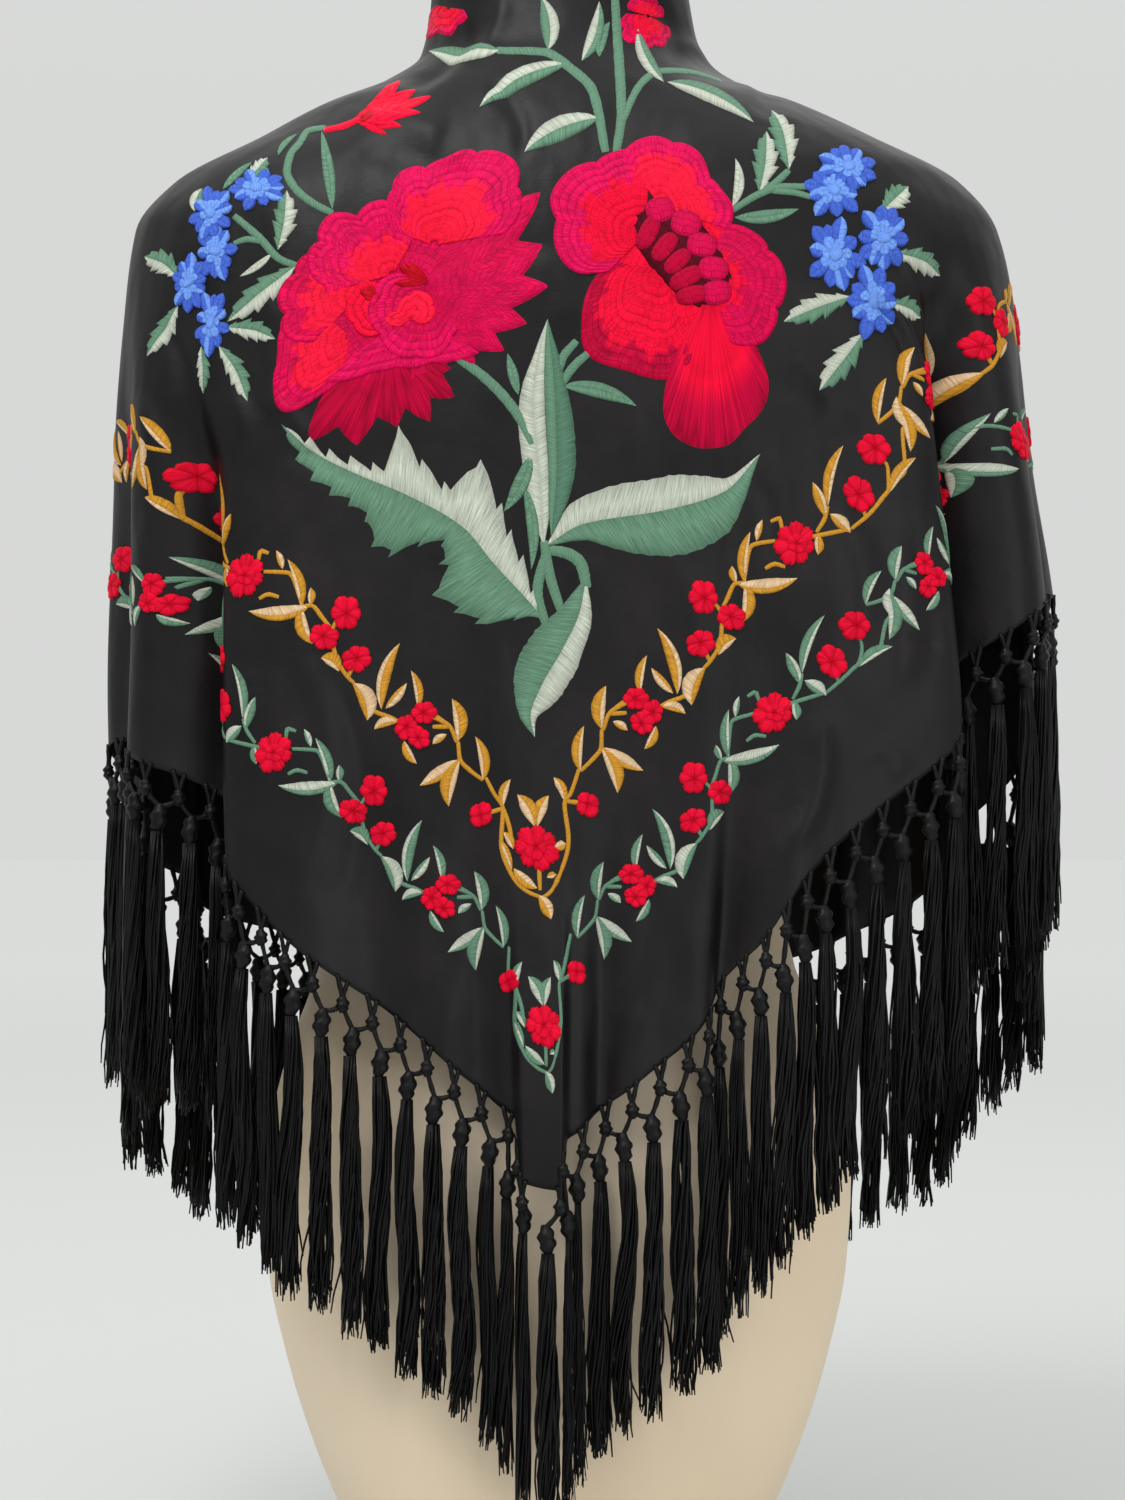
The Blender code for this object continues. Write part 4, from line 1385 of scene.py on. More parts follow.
    def stem(self, places: Sequence[Place], width: float, silk: Colour, layer: float = 0.0) -> None:
        """Adds a stem: a ribbon on a smooth curve, with lift following half a circle.

        Args:
            places: A few places along it.
            width: Its full width in metres.
            silk: Its silk.
            layer: How many layers lie below.
        """
        at = np.asarray(places, float)
        length = float(np.sum(np.linalg.norm(np.diff(at, axis=0), axis=1)))
        curve = through(places, max(5, int(length / 0.0022) + 2))
        along = np.linspace(0, 1, len(curve))
        over = np.array([-1.0, -0.7, 0.0, 0.7, 1.0])
        half = width / 2 * (0.82 + 0.18 * np.sin(math.pi * along)) * (1 + 0.04 * np.sin(60 * along + 3))
        places_grid = curve[:, None] + (half[:, None] * over)[..., None] * beside(curve)[:, None]
        lift = layer * self.LAYER + 0.9 * self.CROWN * np.sqrt(1 - over**2) * np.ones((len(curve), 1))
        lift[:, [0, -1]] = -self.SINK
        lift[[0, -1]] = np.minimum(lift[[0, -1]], 0.0)
        aside = half[:, None] * over
        slanted = (length * along)[:, None] + 0.6 * half[:, None] * over
        thread = np.stack(np.broadcast_arrays(aside, slanted), axis=-1)
        # Painted shading: the silk is lighter along the stem's crown and darker at its sides.
        painted_shading = (0.70 + 0.32 * np.sqrt(1 - over**2))[:, None]
        self.patch(places_grid, lift, thread, np.array(silk) * painted_shading)

    def blossom(
        self,
        centre: np.ndarray,
        radius: float,
        turn: float,
        layer: float = 2.0,
        petals: int = 5,
        frill: float = 0.0,
    ) -> None:
        """Adds a small red blossom.

        The rim is radius * (0.88 + 0.17 |cos(petals * a / 2)|^0.7), made
        uneven by slower and faster waves; the lift is a rounded pad on each
        petal with a groove between two, and a dimple in the heart.

        Args:
            centre: Its heart.
            radius: Its mean radius.
            turn: How far it is turned, in radians.
            layer: How many layers lie below.
            petals: How many petals it has.
            frill: Depth of the fine frill on its rim, as a share.
        """
        share = np.array([0.02, 0.22, 0.42, 0.62, 0.80, 0.93, 1.0])[:, None]
        angle = np.linspace(0, 2 * math.pi, 8 * petals, endpoint=False)[None]
        lobe = np.cos(petals * angle)
        lobes = 0.17 * np.abs(np.cos(petals * angle / 2)) ** 0.7
        rim = radius * (0.88 + lobes + frill * np.cos(3 * petals * angle + 1))
        rim = rim * (1 + 0.08 * np.cos(angle + 3 * turn) + 0.08 * np.cos(2 * angle + 5 * turn))
        reach = share * rim
        direction = np.stack([np.cos(angle + turn), np.sin(angle + turn)], axis=-1)
        places = np.asarray(centre) + reach[..., None] * direction
        ridge = np.abs(np.cos(petals * angle / 2)) ** 0.5
        pad = np.sin(math.pi * (0.12 + 0.80 * share)) ** 0.6
        lift = layer * self.LAYER + 1.25 * self.CROWN * (0.35 + 0.65 * ridge) * pad
        lift[-1] = -self.SINK
        thread = np.stack(np.broadcast_arrays(reach, 0.55 * radius * angle), axis=-1)
        # Painted light and shade: the silk runs from dark red in the grooves between petals to poppy red on
        # each petal's padded ridge. It is also darker in the heart, and the crimson ring is the blossom's own
        # colour.
        tone = np.clip(0.25 + 0.75 * ridge * pad - 0.5 * (share < 0.3), 0, 1)[..., None]
        silk = np.array(DARK_RED_AND_PAINTED_SHADE) + tone * (np.array(POPPY_RED) - np.array(DARK_RED_AND_PAINTED_SHADE))
        inner = np.exp(-(((share - 0.52) / 0.12) ** 2))[..., None] * (0.5 + 0.5 * lobe)[..., None]
        silk = silk * (1 - 0.45 * inner) + 0.45 * inner * np.array(CRIMSON)
        self.patch(places, lift, thread, silk, closed=True)

    def star(self, centre: Place, radii: Place, turn: float, layer: float) -> None:
        """Adds a blue star: ten blunt petals, a paler ruff of short ones and a small heart.

        Args:
            centre: Its heart.
            radii: Half its seen width and half its seen height.
            turn: How far it is turned, in radians.
            layer: How many layers lie below.
        """
        heart = np.asarray(centre, float)
        size = np.array(radii)
        for count, share, rise, silk in ((10, 1.04, 0.0, BLUE), (7, 0.56, 1.5, PALE_BLUE)):
            for petal in range(count):
                angle = turn + 2 * math.pi * petal / count + 0.16 * math.sin(5 * petal + turn)
                reach = share * (0.97 + 0.11 * math.sin(3 * petal + 2 * turn))
                tip = heart + reach * size * [math.cos(angle), math.sin(angle)]
                width = (4.9 / count) * share * math.sqrt(radii[0] * radii[1])
                silks = (silk, PALE_BLUE if petal % 3 == 0 else silk)
                above = layer + rise + 0.25 * (petal % 4)
                self.simple_leaf(heart, tip, width, 0.0, silks, above, 0.5, (1.22, 0.72))
        self.round_pad(heart, (0.24 * radii[0], 0.24 * radii[1]), turn, layer + 2.6, PALE_BLUE)

    def round_pad(
        self, centre: np.ndarray, radii: tuple[float, float], turn: float, layer: float, silk: Colour
    ) -> None:
        """Adds an oval pad whose threads run straight across it.

        Args:
            centre: Its middle.
            radii: Half its length and half its width.
            turn: The direction of its length, in radians.
            layer: How many layers lie below.
            silk: Its silk.
        """
        share = np.array([0.02, 0.35, 0.65, 0.88, 1.0])[:, None]
        angle = np.linspace(0, 2 * math.pi, 18, endpoint=False)[None]
        square = (np.abs(np.cos(angle)) ** 2.6 + np.abs(np.sin(angle)) ** 2.6) ** (-1 / 2.6)
        along = radii[0] * share * square * np.cos(angle)
        over = radii[1] * share * square * np.sin(angle)
        cosine, sine = math.cos(turn), math.sin(turn)
        turned = np.stack([cosine * along - sine * over, sine * along + cosine * over], axis=-1)
        places = np.asarray(centre) + turned
        lift = layer * self.LAYER + 1.2 * self.CROWN * np.sqrt(1 - 0.98 * share**2) * np.ones_like(angle)
        lift[-1] = (layer - 1.4) * self.LAYER
        # Painted shading: the silk is lighter on the pad's crown and darker towards its rim.
        painted_shading = (0.55 + 0.5 * np.sqrt(1 - 0.96 * share**2) * np.ones_like(angle))[..., None]
        self.patch(places, lift, np.stack([over, along], axis=-1), np.array(silk) * painted_shading, closed=True)

    def finish(self, name: str, material: bpy.types.Material) -> bpy.types.Object:
        """Lays every patch on the cloth and makes one piece of them.

        Args:
            name: The piece's name.
            material: The silk.

        Returns:
            The piece.
        """
        piece = add_piece(name, self.builder.mesh(name, self.laid), material)
        return piece


@dataclass(frozen=True)
class Fan:
    """A group of petals round a heart: an angular sector of padded bands.

    Angles are in degrees from +X, anticlockwise as seen; radii and the heart
    are in millimetres. The bands run from "core" to the rim, and the silk
    turns from the inner to the outer one at the share "change". A "row"
    below 1 lengthens the rows of stitches, for smooth petals.
    """

    heart: Place
    start: float
    end: float
    radii: tuple[float, ...]
    inner: Colour
    outer: Colour
    change: float
    edging: Edging = Edging.PLAIN
    count: int = 0
    depth: float = 0.0
    bands: int = 5
    core: float = 0.06
    layer: float = 0.0
    phase: float = 0.0
    row: float = 1.0

    def rim(self, share: np.ndarray) -> np.ndarray:
        """Radius of the rim at a share of the sector.

        The table's smooth curve is multiplied by 1 - depth * cut, where cut
        is 1 - |sin(pi * count * share)|^0.55 for scallops and a lopsided
        triangle wave for points.
        """
        base = smooth_between(np.linspace(0, 1, len(self.radii)), millimetres(*self.radii), share)
        turns = self.count * share + self.phase
        if self.edging is Edging.SCALLOPED:
            cut = 1 - np.abs(np.sin(math.pi * turns)) ** 0.55
        elif self.edging is Edging.POINTED:
            part = np.mod(turns, 1.0)
            cut = np.where(part < 0.62, 1 - part / 0.62, (part - 0.62) / 0.38)
        else:
            cut = np.zeros_like(share)
        return base * (1 - self.depth * cut)

    def embroider(self, work: Stitchery) -> None:
        """Adds the fan to a drawing.

        A place is heart + rim * share of the radius in the sector's
        direction. Within each band the lift follows a half sine to the power
        0.6, so the bands read as padded ridges that echo the rim.

        Args:
            work: The drawing.
        """
        columns = int(abs(self.end - self.start) / 1.5) + 24
        sector = np.linspace(0, 1, columns)[None]
        angle = np.radians(self.start + (self.end - self.start) * sector)
        marks = np.linspace(self.core, 1.0, self.bands + 1)
        inside = np.array([0.0, 0.14, 0.5, 0.86])
        steps = (marks[:-1, None] + np.diff(marks)[:, None] * inside).ravel()
        share = np.concatenate([steps, [1.0]])[:, None]
        within = np.concatenate([np.tile(inside, self.bands), [1.0]])[:, None]
        rim = self.rim(sector)
        soft = smooth_between(
            np.linspace(0, 1, len(self.radii)), millimetres(*self.radii), sector
        ) * (1 - 0.45 * self.depth)
        echo = smooth_step((share - 0.15) / 0.6)
        reach = share * (soft + (rim - soft) * echo)
        direction = np.stack([np.cos(angle), np.sin(angle)], axis=-1)
        places = millimetres(*self.heart) + reach[..., None] * direction
        pad = np.clip(np.sin(math.pi * within), 0, 1) ** 0.6
        lift = self.layer * work.LAYER + 0.40 * work.CROWN + 0.60 * work.CROWN * pad * np.ones_like(sector)
        lift[-1] = -work.SINK
        lift[:, [0, -1]] = np.minimum(lift[:, [0, -1]], 0.5 * self.layer * work.LAYER)
        middle = 0.62 * float(np.mean(millimetres(*self.radii)))
        along = self.row * share * float(np.mean(millimetres(*self.radii)))
        thread = np.stack(np.broadcast_arrays(along, middle * angle), axis=-1) + [0.011 * self.start, 0]
        jag = 0.05 * np.sin(5.3 * self.count + 31 * sector) + 0.035 * np.sin(83 * sector + self.start)
        turned = smooth_step((share + jag - self.change) / 0.05 + 0.5)[..., None]
        silk = np.array(self.inner) * (1 - turned) + np.array(self.outer) * turned
        # Painted light and shade: each band's padded ridge is lighter and the groove between two bands
        # darker; the small sine is uneven thread tone.
        silk = silk * (0.84 + 0.16 * pad + 0.05 * np.sin(9 * share + 20 * sector))[..., None]
        work.patch(places, lift, thread, silk)


@dataclass
class PeonyPair:
    """The two large blossoms of the bouquet.

    Open fault: the radii of these petals were fitted to points picked along
    the petals' outlines in the picture, which the work order doesn't allow.
    They are to be replaced by sizes chosen anew.
    """

    left_fans: tuple[Fan, ...] = (
        Fan((-86, 742), 0, 360, (44, 46, 44, 44, 48, 50, 46, 44, 44), CRIMSON, CRIMSON, 0.5, bands=3,
            core=0.02),
        Fan((-92, 721), 213, 335, (52, 74, 62, 50, 52, 50, 42), CRIMSON, DEEP_CRIMSON, 0.3, Edging.POINTED,
            5.6, 0.22, 2, 0.1, 0.5, 0.79, 0.03),
        Fan((-78, 744), -60, 58, (44, 54, 60, 66, 76, 78, 92, 50), CRIMSON, CRIMSON, 0.5, Edging.POINTED,
            6.6, 0.20, 3, 0.05, 0.9, 0.0),
        Fan((-114, 723), 140, 262, (28, 34, 39, 42, 50, 56, 36, 24), BRIGHT_RED, CRIMSON, 0.72,
            Edging.SCALLOPED, 2, 0.05, 7, 0.05, 1.3),
        Fan((-108, 746), 96, 226, (28, 32, 38, 43, 47, 49, 40), BRIGHT_RED, CRIMSON, 0.70,
            Edging.SCALLOPED, 4, 0.11, 7, 0.05, 1.7),
        Fan((-90, 757), 60, 196, (34, 38, 43, 43, 50, 51, 48, 40), BRIGHT_RED, ROSE, 0.52,
            Edging.SCALLOPED, 4, 0.11, 8, 0.05, 2.1, 0.2),
        Fan((-68, 773), 8, 160, (40, 56, 66, 63, 51, 48, 44, 34, 27), BRIGHT_RED, ROSE, 0.64,
            Edging.SCALLOPED, 5, 0.09, 9, 0.05, 2.6, 0.1),
        Fan((-80, 737), 218, 328, (66, 40, 33, 32, 36, 46), CRIMSON, ROSE, 0.3, Edging.SCALLOPED, 3, 0.04,
            6, 0.10, 2.4),
        Fan((-72, 742), 96, 318, (12, 22, 31, 34, 35, 32, 24), CRIMSON, ROSE, 0.7, Edging.SCALLOPED, 5,
            0.09, 6, 0.10, 3.0, 0.3),
        Fan((-97, 738), 92, 268, (15, 19, 20, 19, 16), RED, RED, 0.6, Edging.SCALLOPED, 3, 0.12, 4, 0.05,
            2.5),
        # Painted shadow: a dark red fan where shade falls among the inner petals.
        Fan((-97, 741), 96, 172, (6, 13, 15, 7), DARK_RED_AND_PAINTED_SHADE, DARK_RED_AND_PAINTED_SHADE, 0.5, Edging.SCALLOPED, 2, 0.2, 1,
            0.10, 2.9),
        Fan((-80, 732), -30, 215, (6, 13, 17, 17, 13, 10, 15, 8), BRIGHT_RED, BRIGHT_RED, 0.6,
            Edging.SCALLOPED, 4, 0.16, 3, 0.05, 3.9),
        # Painted shadow: a dark red fan where shade falls among the inner petals.
        Fan((-70, 752), 118, 196, (8, 17, 21, 15, 22, 10), DARK_RED_AND_PAINTED_SHADE, DARK_RED_AND_PAINTED_SHADE, 0.5, Edging.SCALLOPED, 3,
            0.2, 1, 0.10, 3.7),
    )
    right_fans: tuple[Fan, ...] = (
        Fan((66, 760), 0, 360, (40, 40, 38, 40, 42, 44, 46, 42, 40), RED, RED, 0.5, bands=3, core=0.02),
        Fan((57, 759), 168, 294, (26, 38, 50, 62, 59, 61, 50), RED, DEEP_CRIMSON, 0.76, bands=9, core=0.03,
            layer=0.8),
        Fan((84, 748), -118, -50, (46, 76, 86, 89, 88, 80, 74, 64, 42), RED, DEEP_CRIMSON, 0.67, bands=2,
            core=0.02, layer=1.2, row=0.05),
        Fan((82, 755), -70, 72, (42, 48, 47, 45, 42, 37, 34), RED, CRIMSON, 0.46, Edging.SCALLOPED, 3,
            0.09, 7, 0.05, 1.8),
        Fan((48, 778), 84, 226, (50, 51, 53, 56, 57, 52, 49, 44, 28), RED, ROSE, 0.66, Edging.SCALLOPED, 3,
            0.08, 10, 0.05, 2.1, 0.2),
        Fan((57, 795), -20, 128, (43, 41, 36, 35, 38, 40, 41, 40, 38), BRIGHT_RED, ROSE, 0.74,
            Edging.SCALLOPED, 3, 0.09, 8, 0.05, 2.7),
    )
    stamens: tuple[tuple[float, float, float, float, float], ...] = (
        (57, 792.5, 17, 15, 15),
        (71, 785, 18, 16, -15),
        (79.7, 773, 18, 14.5, -10),
        (86, 760, 18, 14.5, -5),
        (88, 746.8, 17, 14.5, 5),
        (50.5, 780, 21, 11, 64),
        (59.5, 772, 20, 11, 52),
        (66.5, 764, 19, 10.5, 42),
        (71.5, 755, 21, 11, 28),
        (75, 745.5, 19, 10.5, 12),
    )
    # A dark oval of shadow red: painted shadow under and between the stamens, where there is only shade.
    stamen_painted_shadow: tuple[float, float, float, float, float] = (69, 769, 70, 37, -50)

    def embroider(self, work: Stitchery) -> None:
        """Adds both blossoms, the lower petals first.

        Args:
            work: The drawing.
        """
        for fan in (*self.left_fans, *self.right_fans):
            fan.embroider(work)
        # The painted shadow under the stamens goes first, then the stamen pads.
        painted_shadows = ((*self.stamen_painted_shadow, 3.2, SHADOW_RED),)
        pads = tuple(
            (*row, 4.4, CRIMSON if number < 5 else DEEP_CRIMSON) for number, row in enumerate(self.stamens)
        )
        for x, z, length, width, turn, layer, silk in (*painted_shadows, *pads):
            half = (MM * length / 2, MM * width / 2)
            work.round_pad(millimetres(x, z), half, math.radians(turn), layer, silk)


@dataclass
class Bouquet:
    """Leaves and stems round the two large blossoms, as seen from behind, in millimetres."""

    def big_leaves(self, work: Stitchery) -> None:
        """Adds the five large leaves of the foot of the bouquet.

        Open fault: "lower" and "upper" were fitted to points picked along the
        toothed leaf's outline in the picture, which the work order doesn't
        allow. They are to be replaced by a rule.

        Args:
            work: The drawing.
        """

        def rib(*places: Place) -> list[Place]:
            """A rib's places in metres."""
            return [(MM * x, MM * z) for x, z in places]

        lower = (
            (0, 0), (0.035, 4), (0.09, 24), (0.15, 29), (0.248, 33.5), (0.27, 26), (0.29, 18), (0.314, 20),
            (0.376, 11),
            (0.43, 16), (0.51, 31.5), (0.58, 30), (0.63, 19), (0.69, 14), (0.76, 13), (0.83, 10), (0.9, 5),
            (1, 0),
        )
        upper = (
            (0, 0), (0.06, 2), (0.14, 10), (0.2, 14), (0.3, 19), (0.378, 32), (0.395, 27), (0.43, 9.5),
            (0.53, 18),
            (0.604, 30), (0.62, 17), (0.637, 5), (0.7, 4.5), (0.79, 1.5), (1, 0),
        )
        work.leaf(
            rib(
                (-7, 566.5), (-13, 574), (-35, 598), (-51, 617), (-84, 636), (-108, 646), (-133, 658.5),
                (-152, 675),
            ),
            LeafHalf((), SAGE, 15.27, 5.0, 0.10, 0.213, lower),
            LeafHalf((), MINT, 13.28, 5.5, 0.40, 0.98, upper),
            rows=260,
        )
        work.leaf(
            rib((-6, 607), (14, 619), (60, 627), (92, 637), (112, 658)),
            LeafHalf((0, 15, 19, 19, 14, 5, 0), MINT),
            LeafHalf((0, 13, 23, 27, 23, 9, 0), SAGE),
            rows=40,
        )
        work.leaf(
            rib((16, 590), (13, 572), (3, 550), (-9, 529), (-14.5, 513), (-12, 502)),
            LeafHalf((0, 5, 9, 11, 13, 13, 10, 4, 0), MINT, slant=0.3),
            LeafHalf((0, 9, 15, 19, 20, 18, 13, 6, 0), SAGE, slant=0.3),
            rows=34,
        )
        work.leaf(
            rib((-7, 606), (-9, 640), (-13, 686), (-9, 716), (-5, 732)),
            LeafHalf((0, 7, 9, 9, 7, 3, 0), MINT),
            LeafHalf((0, 5, 6, 7, 7, 4, 0), MINT),
            rows=34,
        )
        work.leaf(
            rib((-3, 611), (0, 650), (-1, 690), (-5, 732)),
            LeafHalf((0, 4, 5, 6, 6, 4, 0), SAGE),
            LeafHalf((0, 8, 11, 10, 7, 4, 0), DEEP_SAGE),
            layer=0.8,
            rows=34,
        )

    def small_leaves(self, work: Stitchery) -> None:
        """Adds the plain small leaves: base, tip, width, bow and the two silks.

        Args:
            work: The drawing.
        """
        sage, mint, both, pale = (SAGE, SAGE), (MINT, MINT), (SAGE, MINT), (MINT, SAGE)
        rows = (
            ((3, 695), (44, 684), 9, 3, sage),
            ((-14, 658), (-29, 626), 9, 2, sage),
            ((-18, 640), (-14, 594), 7, 3, sage),
            ((-21, 690), (-27, 713), 6, 0, sage),
            ((-32, 890), (-74, 899), 13, 4, pale),
            ((-5, 889), (-9, 922), 11, -3, both),
            ((14, 882), (24, 920), 9, -3, pale),
            ((6, 880), (-43, 853), 13, -5, both),
            ((24, 846), (-18, 826), 15, -4, both),
            ((60, 870), (46, 906), 9, 3, pale),
            ((62, 870), (110, 846), 12, 5, both),
            ((24, 885), (30, 908), 7, 2, sage),
            ((97, 795), (99, 823), 6, -3, mint),
            ((98, 789), (134, 794.5), 8, -2, sage),
            ((-124, 794), (-132, 842.5), 6.8, -1, sage),
            ((-156, 828), (-146, 842), 4, 2, sage),
            ((-158, 770), (-176, 758), 4.2, 1, mint),
            ((-203, 797), (-199.5, 811), 9, 1, pale),
            ((-187, 809), (-171, 825), 5, 1, sage),
        )
        for base, tip, width, bow, silks in rows:
            work.simple_leaf(millimetres(*base), millimetres(*tip), MM * width, MM * bow, silks)

    def toothed_leaves(self, work: Stitchery) -> None:
        """Adds the small leaves with stepped edges: base, tip and half-width.

        A half-width below zero puts the mint half on the left.

        Args:
            work: The drawing.
        """
        rows = (
            ((-154.5, 772), (-150, 806), 8),
            ((-212, 760), (-234, 775), -8),
            ((-212, 744), (-231, 717), -7),
            ((-144, 763), (-183, 733), -9),
            ((-184, 730), (-155, 722), 7),
            ((-188, 720), (-171, 688), 7),
            ((-198, 720), (-200, 694), 5),
            ((-173, 813), (-162, 827), -6),
            ((112, 803), (117, 840.5), 8.5),
            ((129, 817), (121.5, 857), 9),
            ((181, 795), (197, 811), 8.5),
            ((188, 771.5), (220, 762), 8),
            ((185, 743), (207, 737), 7.5),
            ((163, 746), (125, 731), 8.5),
            ((170, 726), (144.5, 693), 9),
        )
        for base, tip, half in rows:
            widths = tuple(abs(half) * share for share in (0, 0.72, 0.98, 0.94, 0.62, 0))
            silks = (SAGE, MINT) if half > 0 else (MINT, SAGE)
            left, right = (LeafHalf(widths, silk, 4.3, 0.40) for silk in silks)
            middle = tuple(0.5 * (b + t) + 1.5 for b, t in zip(base, tip))
            work.leaf([tuple(MM * v for v in place) for place in (base, middle, tip)], left, right, 0.8, 44)

    def stems(self, work: Stitchery) -> None:
        """Adds the stems: their widths and a few places along each.

        Args:
            work: The drawing.
        """
        rows = (
            (6.5, (33, 826), (36, 850), (35, 884), (33, 924)),
            (6.5, (27, 826), (20, 863), (7, 878), (-7, 888), (-34, 890)),
            (5.0, (36, 843), (47, 868), (59, 878), (78, 880), (94, 876)),
            (6.5, (-7, 610), (-4, 592), (2.5, 571)),
            (6.5, (-6, 564), (-10.5, 582), (-5, 606)),
            (7.5, (-4, 605), (6, 603), (13.5, 597), (16.5, 584)),
            (5.5, (11, 720), (3, 710), (-1, 694)),
            (5.5, (19, 714.5), (9.5, 706), (0, 692)),
            (6.5, (-55, 711), (-40, 700), (-28, 688), (-19, 675), (-13.5, 661)),
            (4.8, (97, 793), (112, 802.5), (124, 807), (141, 807.7)),
            (4.2, (119, 804.5), (130, 804), (142, 801.4)),
            (4.8, (112, 802), (122, 810), (129, 817)),
            (5.0, (-143, 762.6), (-153.5, 767), (-165, 779.4), (-180, 793)),
            (4.0, (-163, 777), (-172, 779), (-180, 777)),
            (5.2, (-124, 792), (-135, 798), (-146, 808), (-150.5, 818), (-149, 828), (-144, 836), (-140,
            844), (-130, 845)),
        )
        for width, *places in rows:
            work.stem([(MM * x, MM * z) for x, z in places], MM * width, SAGE, 0.4)

    def stars(self, work: Stitchery) -> None:
        """Adds the blue stars over each shoulder blade.

        Args:
            work: The drawing.
        """
        rows = (
            (-167, 808, 15.5, 12.5),
            (-193, 795, 12.5, 15.5),
            (-190, 773, 11.5, 17),
            (-205, 756, 9.5, 18),
            (-192, 733, 9.5, 18),
            (162.5, 820, 17, 13.5),
            (153.5, 806, 15.5, 17.5),
            (181, 779.5, 15, 19.5),
            (154, 769, 16, 20),
            (175, 743.5, 13.7, 21.5),
        )
        for number, (x, z, wide, high) in enumerate(rows):
            work.star((MM * x, MM * z), (MM * wide, MM * high), 0.7 * number, 2.0 + 1.3 * (number % 2))

    def red_sprays(self, work: Stitchery) -> None:
        """Adds the red flowers of the left shoulder and of both sides of the neck.

        Args:
            work: The drawing.
        """
        fans = (
            Fan((-114, 848), -38, 54, (18, 24, 30, 39, 47, 43, 39, 38), RED, RED, 0.6, Edging.POINTED, 6,
                0.27, 4),
            Fan((-112, 848), -26, 40, (14, 22, 28, 27, 20), DARK_RED_AND_PAINTED_SHADE, RED, 0.4, Edging.POINTED, 4, 0.22, 3,
                0.08, 0.9),
            Fan((-62, 922), 150, 340, (12, 20, 18, 12), RED, CRIMSON, 0.7, Edging.POINTED, 4, 0.22, 3),
            Fan((52, 914), 180, 350, (14, 22, 20, 16), RED, CRIMSON, 0.6, Edging.SCALLOPED, 5, 0.16, 4),
            Fan((52, 914), 10, 170, (12, 14, 13), RED, CRIMSON, 0.7, Edging.SCALLOPED, 4, 0.14, 3, 0.08,
                0.5),
        )
        for fan in fans:
            fan.embroider(work)
        work.stem([(-0.131, 0.843), (-0.121, 0.8445), (-0.108, 0.850)], 0.0050, RED, 0.3)


@dataclass(frozen=True)
class GarlandLeaf:
    """A garland leaf in the cell's own millimetres: outward along the guide, then towards the neck."""

    base: Place
    tip: Place
    width: float
    bow: float = 0.0
    pale: bool = False


